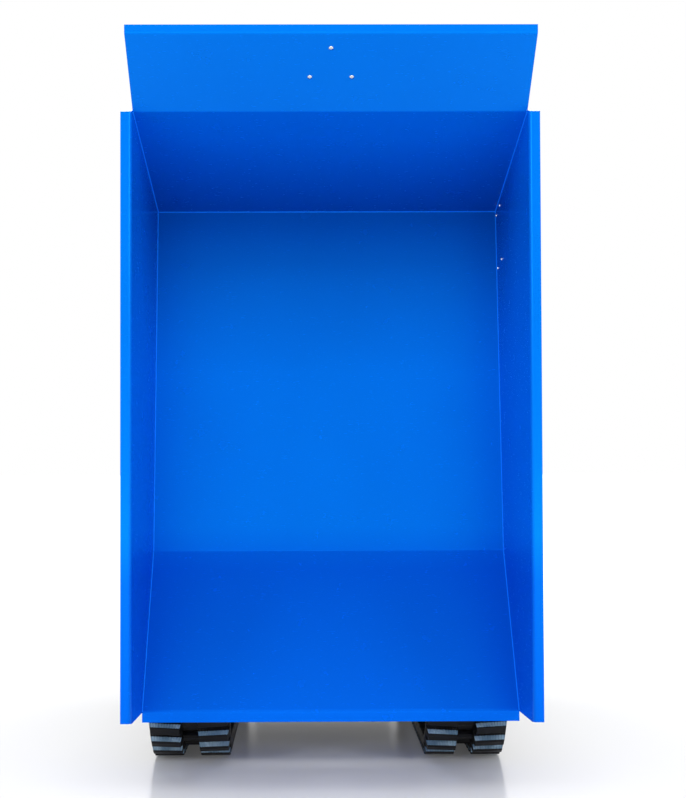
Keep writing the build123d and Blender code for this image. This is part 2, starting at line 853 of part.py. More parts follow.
def cylinder_axis():
    """Unit vector from the base pin to the rod's eye with the skip tipped, and its length."""
    angle = radians(tip_angle)
    turned = (eye_back * cos(angle) - eye_up * sin(angle), eye_back * sin(angle) + eye_up * cos(angle))
    run = (hinge_y + turned[0] - base_y, hinge_z + turned[1] - base_z)
    size = hypot(*run)
    return run[0] / size, run[1] / size, size


def along(distance):
    """Plane square to the cylinder at a distance from its base pin."""
    way_y, way_z, _ = cylinder_axis()
    return Plane(origin=(0, base_y + way_y * distance, base_z + way_z * distance), x_dir=(1, 0, 0),
                 z_dir=(0, way_y, way_z))


def closed_length():
    return hypot(hinge_y + eye_back - base_y, hinge_z + eye_up - base_z)


def barrel():
    bore = Circle(rod_r + rod_play)
    end = closed_length() - eye_r - gland_gap
    start = eye_r + neck
    root = eye_r - eye_bite
    body = extrude(along(start) * Circle(barrel_r), amount=end - start)
    body += extrude(along(root) * Circle(neck_r), amount=start - root)
    body += rod_x(base_y, base_z, eye_r, -eye_wide / 2, eye_wide / 2)
    body -= rod_x(base_y, base_z, eye_pin_r + pin_play, -eye_wide, eye_wide)
    return body - extrude(along(start + barrel_floor) * bore, amount=end)


def rod():
    way_y, way_z, size = cylinder_axis()
    eye_y = base_y + way_y * size
    eye_z = base_z + way_z * size
    length = closed_length() - eye_r - rod_short
    body = extrude(along(size - length) * Circle(rod_r), amount=length - rod_eye_r + eye_bite)
    body += rod_x(eye_y, eye_z, rod_eye_r, -eye_wide / 2, eye_wide / 2)
    return body - rod_x(eye_y, eye_z, eye_pin_r, -eye_wide, eye_wide)


# ------------------------------------------------------------------ all pieces


def main():
    os.makedirs("parts", exist_ok=True)
    save_pair("track", track())
    save_pair("idler", idler())
    save_pair("sprocket", sprocket())
    save_pair("travel_motor", travel_motor())
    save_pair("rollers", roller_set())
    save_pair("track_frame", track_frame())
    save_pair("frame_plate", frame_plate())
    save_pair("engine_door", door())
    save_pair("skip_side", tipped(skip_side()))
    save_pair("hinge_pin", hinge_pin())
    save("cross_members", cross_members())
    save("belly_plate", belly_plate())
    save("cylinder_mount", cylinder_mount())
    save("rest_beam", rest_stop())
    save("rest_pads", rest_pads())
    save("deck", deck())
    save("rear_panel", rear_panel())
    save("tow_hook", tow_hook())
    save("lifting_eyes", lifting_eyes())
    save("hood", hood())
    save("engine_block", engine_block())
    save("console", console())
    save("levers", lever_row())
    save("grab_rail", grab_rail())
    save("filler_caps", filler_caps())
    save("exhaust", exhaust())
    save("step", step())
    save("skip_bed", tipped(skip_bed()))
    save("skip_back", tipped(skip_back()))
    save("guard_plate", tipped(guard_plate()))
    save("wall_plate", tipped(wall_plate()))
    save("skip_rails", [tipped(rail) for rail in skip_rails()])
    save("eye_ears", [tipped(ear) for ear in eye_ears()])
    save("cylinder_barrel", barrel())
    save("cylinder_rod", rod())


main()
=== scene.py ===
import json
from math import acos, atan2, ceil, cos, hypot, pi, radians, sin
import bmesh
import bpy
from mathutils import Matrix, Vector


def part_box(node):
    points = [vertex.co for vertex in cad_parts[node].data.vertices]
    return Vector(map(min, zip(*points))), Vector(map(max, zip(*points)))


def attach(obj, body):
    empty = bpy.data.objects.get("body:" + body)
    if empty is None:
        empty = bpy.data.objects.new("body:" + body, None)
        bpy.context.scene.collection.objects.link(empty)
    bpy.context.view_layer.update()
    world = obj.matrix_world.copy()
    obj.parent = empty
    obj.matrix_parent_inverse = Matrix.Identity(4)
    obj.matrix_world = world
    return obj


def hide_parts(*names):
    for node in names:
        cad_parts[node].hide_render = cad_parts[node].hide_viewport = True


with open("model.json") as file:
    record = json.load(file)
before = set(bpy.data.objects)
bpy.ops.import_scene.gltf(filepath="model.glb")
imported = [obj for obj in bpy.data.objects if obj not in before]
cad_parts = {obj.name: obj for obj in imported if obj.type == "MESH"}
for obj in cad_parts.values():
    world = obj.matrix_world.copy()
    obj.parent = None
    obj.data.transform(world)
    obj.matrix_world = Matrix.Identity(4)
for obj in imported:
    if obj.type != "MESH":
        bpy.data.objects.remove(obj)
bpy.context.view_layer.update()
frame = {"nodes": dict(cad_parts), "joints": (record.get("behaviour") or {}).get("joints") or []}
joints = {joint["name"]: joint for joint in frame["joints"]}
sides = {"left": 1, "right": -1}
across = Vector((1, 0, 0))
rearward = Vector((0, 1, 0))
upward = Vector((0, 0, 1))


def middle(node):
    low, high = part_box(node)
    return (low + high) / 2


def endX(node, sign):
    # where a node ends to the left (1) or to the right (-1)
    low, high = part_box(node)
    return high.x if sign > 0 else low.x


def putIn(tree, socket, value):
    if isinstance(value, Wire):
        tree.links.new(value.socket, socket)
    else:
        socket.default_value = value


class Wire:
    # a node's output that can stand in sums, so that a mask is written as plain maths
    def __init__(self, tree, socket):
        self.tree = tree
        self.socket = socket

    def work(self, operation, first, second):
        node = self.tree.nodes.new("ShaderNodeMath")
        node.operation = operation
        putIn(self.tree, node.inputs[0], first)
        putIn(self.tree, node.inputs[1], second)
        return Wire(self.tree, node.outputs[0])

    def __add__(self, other):
        return self.work("ADD", self, other)

    def __sub__(self, other):
        return self.work("SUBTRACT", self, other)

    def __rsub__(self, other):
        return self.work("SUBTRACT", other, self)

    def __mul__(self, other):
        return self.work("MULTIPLY", self, other)

    __radd__ = __add__
    __rmul__ = __mul__


def rgb(red, green, blue):
    # a colour as it is read off a paint card, 0 to 255, turned into light values
    def linear(value):
        part = value / 255
        return part / 12.92 if part <= 0.04045 else ((part + 0.055) / 1.055) ** 2.4
    return (linear(red), linear(green), linear(blue), 1.0)


class Finish:
    # one material: its Principled shader, and the nodes that feed it
    def __init__(self, name, **constants):
        self.material = bpy.data.materials.new(name)
        self.material.use_nodes = True
        self.tree = self.material.node_tree
        self.shader = self.tree.nodes["Principled BSDF"]
        for socketName, value in constants.items():
            self.shader.inputs[socketName.replace("_", " ")].default_value = value

    def node(self, kind, settings=None, inputs=None, output=0):
        node = self.tree.nodes.new("ShaderNode" + kind)
        for name, value in (settings or {}).items():
            setattr(node, name, value)
        for name, value in (inputs or {}).items():
            putIn(self.tree, node.inputs[name], value)
        return Wire(self.tree, node.outputs[output])

    def feed(self, socketName, value):
        putIn(self.tree, self.shader.inputs[socketName], value)

    def place(self, stretch=(1, 1, 1)):
        spot = self.node("TexCoord", output="Object")
        return self.node("Mapping", inputs={"Vector": spot, "Scale": stretch})

    def noise(self, scale, detail=3.0, stretch=(1, 1, 1)):
        inputs = {"Vector": self.place(stretch), "Scale": scale, "Detail": detail}
        return self.node("TexNoise", inputs=inputs)

    def cells(self, scale):
        return self.node("TexVoronoi", inputs={"Vector": self.place(), "Scale": scale})

    def between(self, value, low, high):
        # 0 below low, 1 above high
        return self.node("MapRange", inputs={"Value": value, "From Min": low, "From Max": high})

    def blend(self, mask, first, second):
        # a Mix node's colour sockets are its factor, first and second colour
        return self.node("Mix", {"data_type": "RGBA"}, {0: mask, 6: first, 7: second}, output=2)

    def tint(self, mask, first, second):
        self.feed("Base Color", self.blend(mask, rgb(*first), rgb(*second)))

    def upPart(self, vector):
        return self.node("SeparateXYZ", inputs={"Vector": vector}, output="Z")

    def relief(self, height, depth):
        self.feed("Normal", self.node("Bump", inputs={"Height": height, "Distance": depth}))


def circle(radius, height, count, place=Matrix()):
    # points about a place's local Z axis
    angles = [2 * pi * k / count for k in range(count)]
    return [place @ Vector((radius * cos(a), radius * sin(a), height)) for a in angles]


def frameOf(origin, along, up):
    # a place whose local Z points along and whose local X is as near as it can be to up
    z = Vector(along).normalized()
    x = (Vector(up) - Vector(up).dot(z) * z).normalized()
    return Matrix.Translation(Vector(origin)) @ Matrix((x, z.cross(x), z)).transposed().to_4x4()


def moved(place, x, y, z):
    # a place shifted along its own axes
    return place @ Matrix.Translation((x, y, z))


def leant(place, angle):
    # a place turned about its own Y axis
    return place @ Matrix.Rotation(angle, 4, "Y")


def grown(radius, profile):
    # a profile whose radii are given from a surface of that radius
    return [(radius + grow, height) for grow, height in profile]


def roundAbout(place, count, radius, height=0, start=0):
    # places spread over a circle about a place's local Z axis
    turns = [Matrix.Rotation(start + 2 * pi * k / count, 4, "Z") for k in range(count)]
    return [moved(place @ turn, radius, 0, height) for turn in turns]


# shares of the thread's diameter
boltShares = dict(head=0.65, washerHigh=0.2, washerEdge=1.1, hexagon=0.9, chamferFrom=0.82, chamferTo=0.86,
                  dome=1.15, domeRim=0.12, domeHigh=0.45)
smoothAngle = radians(32)
bevelAngle = radians(30)


class Form:
    # a mesh gathered from turned, drawn and swept shapes, all in metres
    def __init__(self):
        self.mesh = bmesh.new()

    def point(self, spot):
        return self.mesh.verts.new(spot)

    def face(self, corners, material=0):
        corners = list(dict.fromkeys(corners))
        if len(corners) > 2:
            made = self.mesh.faces.new(corners)
            made.material_index = material

    def skin(self, rings, endsClosed=False, capped=True, material=0):
        # joins rings of points, one after another, into a surface
        made = [[self.point(spot) for spot in ring] for ring in rings]
        pairs = list(zip(made, made[1:]))
        if endsClosed:
            pairs.append((made[-1], made[0]))
        for low, high in pairs:
            for k in range(len(low)):
                after = (k + 1) % len(low)
                tint = material if isinstance(material, int) else material[k]
                self.face([low[k], low[after], high[after], high[k]], tint)
        if capped and not endsClosed:
            tint = material if isinstance(material, int) else 0
            self.face(made[0][::-1], tint)
            self.face(made[-1], tint)

    def turned(self, profile, place=Matrix(), sides=24, material=0):
        # profile is (radius, height) pairs about the local Z axis; a radius of 0 closes an end
        rings = []
        for radius, height in profile:
            ring = circle(radius, height, sides, place) if radius else [place @ Vector((0, 0, height))]
            rings.append([self.point(spot) for spot in ring])
        for low, high in zip(rings, rings[1:]):
            for k in range(sides):
                corners = [low[k % len(low)], low[(k + 1) % len(low)],
                           high[(k + 1) % len(high)], high[k % len(high)]]
                self.face(corners, material)

    def block(self, low, high, place=Matrix()):
        corners = [(low[0], low[1]), (high[0], low[1]), (high[0], high[1]), (low[0], high[1])]
        self.skin([[place @ Vector((x, y, z)) for x, y in corners] for z in (low[2], high[2])])

    def tube(self, points, radius, sides=12, closed=False):
        # a round bar along points; radius may be one number or one for each point
        points = [Vector(point) for point in points]
        count = len(points)
        sizes = radius if isinstance(radius, list) else [radius] * count
        side = None
        rings = []
        for k, point in enumerate(points):
            before = points[(k - 1) % count] if closed or k else point
            after = points[(k + 1) % count] if closed or k < count - 1 else point
            way = (after - before).normalized()
            if side is None:
                side = way.orthogonal().normalized()
            side = (side - side.dot(way) * way).normalized()
            other = way.cross(side)
            angles = [2 * pi * j / sides for j in range(sides)]
            rings.append([point + sizes[k] * (cos(a) * side + sin(a) * other) for a in angles])
        self.skin(rings, endsClosed=closed)

    def hexBolt(self, place, size, washer=True):
        # a washer and a hexagon head on the local X-Y plane; size is the thread's diameter
        made = boltShares
        seat = 0
        if washer:
            seat = size * made["washerHigh"]
            edge = size * made["washerEdge"]
            profile = [(0, 0), (edge, 0), (edge, seat * 0.7), (edge - seat * 0.3, seat), (0, seat)]
            self.turned(profile, place, 20)
        head = size * made["head"]
        flat = size * made["hexagon"]
        levels = ((flat, seat), (flat, seat + head * made["chamferFrom"]),
                  (flat * made["chamferTo"], seat + head))
        self.skin([circle(radius, height, 6, place) for radius, height in levels])

    def domeBolt(self, place, size, material=0):
        # a low round head with a flange, as on a coach bolt
        edge, rim, high = (size * boltShares[name] for name in ("dome", "domeRim", "domeHigh"))
        arc = [(edge * cos(a), rim + high * sin(a)) for a in (0, pi / 8, pi / 4, 3 * pi / 8)]
        self.turned([(0, 0), (edge, 0), *arc, (0, rim + high)], place, 20, material)

    def soften(self, width, segments=2):
        sharp = [edge for edge in self.mesh.edges
                 if len(edge.link_faces) == 2 and edge.calc_face_angle() > bevelAngle]
        bmesh.ops.bevel(self.mesh, geom=sharp, offset=width, segments=segments, profile=0.5, affect="EDGES",
                        clamp_overlap=True)

    def keep(self, name, slotName, body="chassis", materials=None, replaced=()):
        # turns the form into a piece of the scene that rides on a body
        bmesh.ops.recalc_face_normals(self.mesh, faces=self.mesh.faces)
        for face in self.mesh.faces:
            face.smooth = True
        for edge in self.mesh.edges:
            edge.smooth = len(edge.link_faces) == 2 and edge.calc_face_angle() < smoothAngle
        mesh = bpy.data.meshes.new(name)
        self.mesh.to_mesh(mesh)
        self.mesh.free()
        for material in materials or [finishes[slotName]]:
            mesh.materials.append(material)
        piece = bpy.data.objects.new(name, mesh)
        bpy.context.scene.collection.objects.link(piece)
        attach(piece, body)
        if replaced:
            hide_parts(*replaced)


cameraSettings = dict(
    place=(-0.0468, -3.5596, 0.6797), yaw=radians(0.434), pitch=radians(2.5), roll=radians(-0.185),
    lens=63.16, sensor=36, shift=0.0329, farthest=100,
)


def placeCamera(look=cameraSettings):
    lens = bpy.data.cameras.new("camera")
    lens.lens = look["lens"]
    lens.sensor_width = look["sensor"]
    lens.shift_x = look["shift"]
    lens.clip_end = look["farthest"]
    camera = bpy.data.objects.new("camera", lens)
    aim = Matrix.Translation(look["place"])
    for angle, axis in ((-look["yaw"], "Z"), (pi / 2 + look["pitch"], "X"), (look["roll"], "Z")):
        aim = aim @ Matrix.Rotation(angle, 4, axis)
    camera.matrix_world = aim
    bpy.context.scene.collection.objects.link(camera)
    bpy.context.scene.camera = camera
    print("camera placed")


lightSettings = dict(
    horizon=1.0, zenith=0.34, fadeFrom=0.32, fadeTo=0.85,
    panels=dict(
        front=dict(place=(0.0, -4.4, 4.0), target=(0, -0.6, 0.7), size=(3.5, 1.6), power=38),
        left=dict(place=(3.4, -3.9, 2.4), target=(0, -0.7, 0.7), size=(1.4, 2.2), power=52),
        right=dict(place=(-3.4, -3.9, 2.4), target=(0, -0.7, 0.7), size=(1.4, 2.2), power=52),
        low=dict(place=(0.0, -3.6, 0.15), target=(0, -0.7, 0.9), size=(4.0, 0.5), power=14),
        rear=dict(place=(0.0, 2.6, 3.6), target=(0, 0.4, 0.2), size=(4.0, 3.0), power=130),
    ),
)


def addLight(name, place, target, size, power):
    light = bpy.data.lights.new(name, "AREA")
    light.shape = "RECTANGLE"
    light.size, light.size_y = size
    light.energy = power
    lamp = bpy.data.objects.new(name, light)
    aim = (Vector(target) - Vector(place)).to_track_quat("-Z", "Y")
    lamp.matrix_world = Matrix.Translation(Vector(place)) @ aim.to_matrix().to_4x4()
    bpy.context.scene.collection.objects.link(lamp)


def lightStudio(look=lightSettings):
    # a white room that is dimmer overhead, and soft panels
    world = bpy.data.worlds.new("studio")
    bpy.context.scene.world = world
    world.use_nodes = True
    tree = world.node_tree
    back = tree.nodes["Background"]
    back.inputs["Color"].default_value = (1, 1, 1, 1)
    way = tree.nodes.new("ShaderNodeTexCoord")
    split = tree.nodes.new("ShaderNodeSeparateXYZ")
    fade = tree.nodes.new("ShaderNodeMapRange")
    limits = {"From Min": "fadeFrom", "From Max": "fadeTo", "To Min": "horizon", "To Max": "zenith"}
    for socketName, setting in limits.items():
        fade.inputs[socketName].default_value = look[setting]
    tree.links.new(way.outputs["Generated"], split.inputs["Vector"])
    tree.links.new(split.outputs["Z"], fade.inputs["Value"])
    tree.links.new(fade.outputs["Result"], back.inputs["Strength"])
    for name, panel in look["panels"].items():
        addLight(name + "Panel", **panel)
    bpy.context.scene.view_settings.view_transform = "Standard"
    print("light set")


floorSettings = dict(reach=60.0, shade=0.92, roughness=0.16, cloudScale=2.5, cloud=0.02, glow=0.05,
                     fade=(1.3, 2.6))


def makeFloor(made=floorSettings):
    reach = made["reach"]
    corners = [(-reach, -reach, 0), (reach, -reach, 0), (reach, reach, 0), (-reach, reach, 0)]
    mesh = bpy.data.meshes.new("floor")
    mesh.from_pydata(corners, [], [(0, 1, 2, 3)])
    floor = bpy.data.objects.new("floor", mesh)
    bpy.context.scene.collection.objects.link(floor)
    finish = Finish("studioFloor", Emission_Strength=1.0)
    # away from the machine the floor glows as white as the room behind it, so that no edge shows
    spot = finish.node("TexCoord", output="Object")
    away = finish.node("VectorMath", {"operation": "LENGTH"}, {0: spot}, output="Value")
    far = finish.between(away, *made["fade"])
    finish.feed("Base Color", finish.blend(far, (*[made["shade"]] * 3, 1), (0, 0, 0, 1)))
    finish.feed("Emission Color", finish.blend(far, (*[made["glow"]] * 3, 1), (1, 1, 1, 1)))
    finish.feed("Roughness", made["roughness"] + finish.noise(made["cloudScale"], 2) * made["cloud"])
    mesh.materials.append(finish.material)


paintSettings = dict(
    skip=dict(shade=(0, 0.165, 0.74, 1), worn=(0, 0.155, 0.71, 1), roughness=0.25, withPaintedShade=True),
    body=dict(shade=(0, 0.16, 0.72, 1), worn=(0, 0.145, 0.68, 1), roughness=0.22),
    tint=(0.03, 0.36, 1.0, 1.0), flake=0.24, peel=620, peelDepth=0.000012, grime=(0.004, 0.12, 0.5, 1),
    # the corner of the floor and the rear wall, and how far from it the painted shade fades: a darker blue
    # painted along that corner stands in for shade
    corner=(0, -0.507, 1.224),
    cornerReach=(0.02, 0.36), cornerDirt=0.6, cornerShade=(0, 0.05, 0.30, 1),
    # the heights between which the painted shade on the front slope fades
    chute=(0.45, 0.54),
    chuteWear=0.62, chuteShade=(0, 0.075, 0.62, 1),
)


def makePaint(name, shade, worn, roughness, withPaintedShade=False):
    # a gloss coat: orange peel, a slow drift of colour, and fine rub marks that dull it
    look = paintSettings
    paint = Finish(name, Specular_Tint=look["tint"], IOR=1.5, Metallic=look["flake"])
    drift = paint.between(paint.noise(3.5, 2), 0.3, 0.7)
    rubs = paint.between(paint.noise(90, 5, (1, 1, 9)), 0.6, 0.75)
    grime = paint.between(paint.noise(26, 6), 0.58, 0.85)
    base = paint.blend(grime * 0.1, paint.blend(drift, shade, worn), look["grime"])
    if withPaintedShade:
        # painted shade: a darker band along the corner of the floor and the rear wall, on any width
        ends = {0: paint.place((0, 1, 1)), 1: look["corner"]}
        gap = paint.node("VectorMath", {"operation": "DISTANCE"}, ends, output="Value")
        deep = 1 - paint.between(gap, *look["cornerReach"])
        base = paint.blend(deep * look["cornerDirt"], base, look["cornerShade"])
        # painted shade: the front slope below the fold is painted a deeper blue
        chutePaintedShade = 1 - paint.between(paint.upPart(paint.place()), *look["chute"])
        base = paint.blend(chutePaintedShade * look["chuteWear"], base, look["chuteShade"])
    paint.feed("Base Color", base)
    paint.feed("Roughness", roughness + rubs * 0.05 + grime * 0.06)
    paint.relief(paint.noise(look["peel"], 1), look["peelDepth"])
    return paint.material


def makeBlackPaint():
    # satin powder coat with grit settled on what faces up
    paint = Finish("blackSatin", IOR=1.45)
    up = paint.upPart(paint.node("TexCoord", output="Normal"))
    dust = paint.between(up, 0.5, 1.0) * paint.between(paint.noise(60, 6), 0.4, 0.75)
    chips = paint.between(paint.noise(160, 3), 0.71, 0.74)
    coat = paint.blend(paint.between(paint.noise(6, 3), 0.3, 0.7), rgb(26, 27, 30), rgb(33, 34, 37))
    dusty = paint.blend(dust * 0.12, coat, rgb(96, 92, 86))
    paint.feed("Base Color", paint.blend(chips * 0.5, dusty, rgb(88, 84, 82)))
    paint.feed("Roughness", 0.44 + dust * 0.08 + chips * 0.1)
    paint.relief(paint.noise(900, 2) * 0.7 - chips * 0.4, 0.00005)
    return paint.material


def makeCasting():
    # sand-cast iron under thin dark paint, polished where it runs
    metal = Finish("darkCasting", IOR=1.5)
    bare = metal.between(metal.noise(38, 5), 0.56, 0.68)
    metal.tint(bare, (46, 47, 50), (86, 84, 82))
    metal.feed("Metallic", bare * 0.8)
    metal.feed("Roughness", 0.62 - bare * 0.22 + metal.noise(60, 3) * 0.12)
    metal.relief(metal.noise(420, 4), 0.00016)
    return metal.material


def makeBrightSteel():
    # turned and zinc-plated steel
    metal = Finish("turnedSteel", Metallic=1.0)
    wave = {"Vector": metal.place(), "Scale": 900, "Distortion": 1.2}
    rings = metal.node("TexWave", {"bands_direction": "X"}, wave)
    cloud = metal.noise(45, 4)
    metal.tint(cloud, (150, 152, 156), (196, 197, 196))
    metal.feed("Roughness", 0.24 + cloud * 0.2 + rings * 0.06)
    metal.relief(rings, 0.00002)
    return metal.material


def makeChrome():
    # hard chrome on the ram's rod, with the hair lines its wiper leaves
    metal = Finish("hardChrome", Metallic=1.0)
    lines = metal.noise(260, 2, (9, 1, 1))
    metal.tint(metal.noise(20, 2), (205, 207, 212), (228, 229, 232))
    metal.feed("Roughness", 0.05 + metal.between(lines, 0.5, 0.8) * 0.12)
    metal.relief(lines, 0.000008)
    return metal.material


def makePlastic(name, dark, pale, grain):
    # moulded plastic with a spark-eroded grain
    plastic = Finish(name, IOR=1.46)
    plastic.tint(plastic.noise(25, 4), dark, pale)
    plastic.feed("Roughness", 0.5 + plastic.noise(70, 3) * 0.18)
    plastic.relief(plastic.cells(grain), 0.00007)
    return plastic.material


def makeRubber(name, dark, pale, roughness, gloss):
    # moulded rubber: scuffs, grey bloom and a grain of fine pits
    rubber = Finish(name, IOR=1.5, Specular_IOR_Level=gloss)
    bloom = rubber.between(rubber.noise(30, 6), 0.42, 0.72)
    scuffs = rubber.between(rubber.noise(240, 4, (0.25, 1, 1)), 0.55, 0.7)
    rubber.tint(bloom * 0.7 + scuffs * 0.3, dark, pale)
    rubber.feed("Roughness", roughness + bloom * 0.15 - scuffs * 0.1)
    rubber.relief(rubber.noise(700, 3) + scuffs * 0.5, 0.0001)
    return rubber.material


def makeClouded(name, cloud, dark, pale, roughness, dulling, depth=0, **constants):
    # two shades and a dullness that drift together: weld beads, the stop button, the display
    finish = Finish(name, **constants)
    drift = finish.noise(*cloud)
    finish.tint(drift, dark, pale)
    finish.feed("Roughness", drift * dulling + roughness)
    if depth:
        finish.relief(drift, depth)
    return finish.material


finishes = dict(
    skip_paint=makePaint("skipBlue", **paintSettings["skip"]),
    blue_paint=makePaint("hoodBlue", **paintSettings["body"]),
    black_paint=makeBlackPaint(),
    dark_steel=makeCasting(),
    bright_steel=makeBrightSteel(),
    chrome=makeChrome(),
    grey_plastic=makePlastic("consoleGrey", (58, 60, 64), (72, 74, 78), 900),
    black_plastic=makePlastic("knobBlack", (20, 20, 22), (34, 34, 36), 1400),
    track_rubber=makeRubber("trackRubber", (7, 8, 11), (22, 24, 29), 0.5, 0.25),
    black_rubber=makeRubber("padRubber", (20, 20, 22), (44, 44, 46), 0.55, 0.4),
)
# the lugs' flanks in a pale copy of the track rubber: a painted sheen where they catch light
flankRubber = makeRubber("flankRubber", (92, 122, 146), (160, 186, 205), 0.45, 0.3)
weldFinish = makeClouded("paintedWeld", (300, 4), (0, 118, 244), (28, 138, 250), 0.3, 0.25, 0.0001,
                         Specular_Tint=paintSettings["tint"])
stopButton = makeClouded("stopButton", (180, 4), (150, 14, 10), (188, 24, 16), 0.32, 0.15)
displayGlass = makeClouded("displayGlass", (40, 5, (1, 3, 1)), (12, 15, 17), (30, 36, 38), 0.08, 0.12)
print("finishes made")


def dressNodes():
    # every CAD node takes the finish of its material slot
    for node in frame["nodes"].values():
        for slot in node.material_slots:
            slot.material = finishes[slot.name.split(".")[0]]
    print("nodes dressed")


trackSettings = dict(
    links=42, teeth=15, pitch=0.060, beltThick=0.022, rollerRadius=0.052, wheelSeat=0.0003, gap=0.036,
    edge=0.004, stationsPerLink=6, lugs=63, lugStart=0.06, stagger=0.5, lugLead=0.006,
    # half length along the belt and height over its middle line, from root to tip
    lugSide=[(0.0136, 0.0085), (0.0122, 0.0120), (0.0114, 0.0165), (0.0098, 0.0270), (0.0090, 0.0299),
             (0.0074, 0.0310)],
    # the strip of each flank that takes the paler rubber, a painted sheen where the flanks catch light
    lugPale=[0, 0, 1, 0, 0, 0, 0, 0, 0, 1, 0, 0],
    gapBevel=0.003, edgeBevel=0.005, ribs=11, ribStations=4, ribDeep=0.0008, ribTop=0.9,
    # corners of a link's bar, as shares of its half length and half thickness
    bar=(0.013, 0.0075),
    barCorners=[(-1, -0.5), (-0.6, -1), (0.6, -1), (1, -0.5), (1, 0.5), (0.6, 1), (-0.6, 1), (-1, 0.5)],
    # a guide horn: its inner and outer side, length and height, and its taper as (share of height, size)
    hornAt=(0.041, 0.053),
    hornLong=0.024, hornHigh=0.016, hornTaper=((0, 1.0), (0.7, 0.78), (1.0, 0.5)),
)


class TrackLine:
    # the middle line of one belt, round its sprocket, idler and last roller
    def __init__(self, side):
        made = trackSettings
        half = made["beltThick"] / 2
        motor = middle("travel_motor_" + side)
        idler = middle("idler_" + side)
        idlerLow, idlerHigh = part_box("idler_" + side)
        rollersLow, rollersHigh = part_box("rollers_" + side)
        reach = made["rollerRadius"] - made["wheelSeat"]
        wheels = [
            (motor.y, motor.z, made["teeth"] * made["pitch"] / (2 * pi)),
            (idler.y, idler.z, (idlerHigh.y - idlerLow.y) / 2 + made["wheelSeat"] + half),
            (rollersHigh.y - reach, rollersLow.z + reach, made["rollerRadius"] + half),
        ]
        self.runs = []
        for k, wheel in enumerate(wheels):
            after = wheels[(k + 1) % len(wheels)]
            start = self.touchAngle(wheels[k - 1], wheel)
            end = self.touchAngle(wheel, after)
            span = hypot(after[0] - wheel[0], after[1] - wheel[1])
            flat = (span ** 2 - (wheel[2] - after[2]) ** 2) ** 0.5
            self.runs.append((wheel, start, (end - start) % (2 * pi), flat))
        self.length = sum(wheel[2] * turn + flat for wheel, start, turn, flat in self.runs)

    def touchAngle(self, first, second):
        # where the straight run between two wheels leaves them
        span = hypot(second[0] - first[0], second[1] - first[1])
        return atan2(second[1] - first[1], second[0] - first[0]) - acos((first[2] - second[2]) / span)

    def at(self, share):
        # the place, the way of travel and the way out of the belt, that share of its length along
        distance = self.length * share % self.length
        for wheel, start, turn, flat in self.runs:
            arc = wheel[2] * turn
            angle = start + min(distance, arc) / wheel[2]
            way = Vector((0, -sin(angle), cos(angle)))
            out = Vector((0, way.z, -way.y))
            if distance <= arc + flat:
                centre = Vector((0, wheel[0], wheel[1]))
                return centre + wheel[2] * out + max(distance - arc, 0) * way, way, out
            distance -= arc + flat


def addBand(form, line, lowX, highX, made=trackSettings):
    # one closed strip of the belt with its four edges taken off
    half = made["beltThick"] / 2
    edge = made["edge"]
    section = [(lowX + edge, half), (lowX, half - edge), (lowX, edge - half), (lowX + edge, -half),
               (highX - edge, -half), (highX, edge - half), (highX, half - edge), (highX - edge, half)]
    count = made["links"] * made["stationsPerLink"]
    rings = []
    for k in range(count):
        spot, way, out = line.at(k / count)
        rings.append([spot + x * across + up * out for x, up in section])
    form.skin(rings, endsClosed=True)


def addLug(form, line, share, gapX, edgeX, made=trackSettings):
    # one ribbed lug from the middle gap out to the belt's edge, leaning back as it goes
    spot, way, out = line.at(share)
    width = abs(edgeX - gapX)
    toEdge = 1 if edgeX > gapX else -1
    root = made["lugSide"][0][1]
    high = made["lugSide"][-1][1] - root
    profile = [(-1, u, v) for u, v in made["lugSide"]] + [(1, u, v) for u, v in reversed(made["lugSide"])]
    steps = made["ribs"] * made["ribStations"]
    rings = []
    for k in range(steps + 1):
        part = k / steps
        wave = made["ribDeep"] * cos(2 * pi * made["ribs"] * part)
        ring = []
        for flank, u, v in profile:
            rise = (v - root) / high
            inset = made["gapBevel"] * rise
            inset += part * (width - inset - made["edgeBevel"] * rise)
            ribbed = wave if 0 < rise < made["ribTop"] else 0
            along = flank * (u + ribbed) + made["lugLead"] * (0.5 - inset / width)
            ring.append(spot + (gapX + toEdge * inset) * across + along * way + v * out)
        rings.append(ring)
    form.skin(rings, material=made["lugPale"])


def addLink(form, line, share, x, made=trackSettings):
    # the bar between two windows, and the two guide horns on the belt's inside
    spot, way, out = line.at(share)
    place = Matrix.Translation(spot + x * across) @ Matrix((across, way, out)).transposed().to_4x4()
    half, thick = made["bar"]
    reach = made["gap"] / 2 + made["edge"]
    form.skin([[place @ Vector((end, u * half, v * thick)) for u, v in made["barCorners"]]
               for end in (-reach, reach)])
    foot = -made["beltThick"] / 2 + made["edge"]
    for sign in (-1, 1):
        low, high = (sign * value for value in made["hornAt"])
        rings = []
        for part, size in made["hornTaper"]:
            wide = (high - low) / 2 * size
            long = made["hornLong"] / 2 * size
            corners = ((-wide, -long), (wide, -long), (wide, long), (-wide, long))
            z = foot - part * made["hornHigh"]
            rings.append([place @ Vector(((low + high) / 2 + a, b, z)) for a, b in corners])
        form.skin(rings)


def makeTrack(side, made=trackSettings):
    line = TrackLine(side)
    low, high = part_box("track_" + side)
    x = (low.x + high.x) / 2
    half = made["gap"] / 2
    shifts = [made["lugStart"], made["lugStart"] + made["stagger"]]
    if side == "right":
        shifts.reverse()
    form = Form()
    for gapX, edgeX, shift in ((x + half, high.x, shifts[0]), (x - half, low.x, shifts[1])):
        addBand(form, line, min(gapX, edgeX), max(gapX, edgeX))
        for k in range(made["lugs"]):
            addLug(form, line, (k + shift) / made["lugs"], gapX, edgeX)
    for k in range(made["links"]):
        addLink(form, line, k / made["links"], x)
    form.keep("rubberTrack_" + side, "track_rubber", materials=[finishes["track_rubber"], flankRubber],
              replaced=["track_" + side])


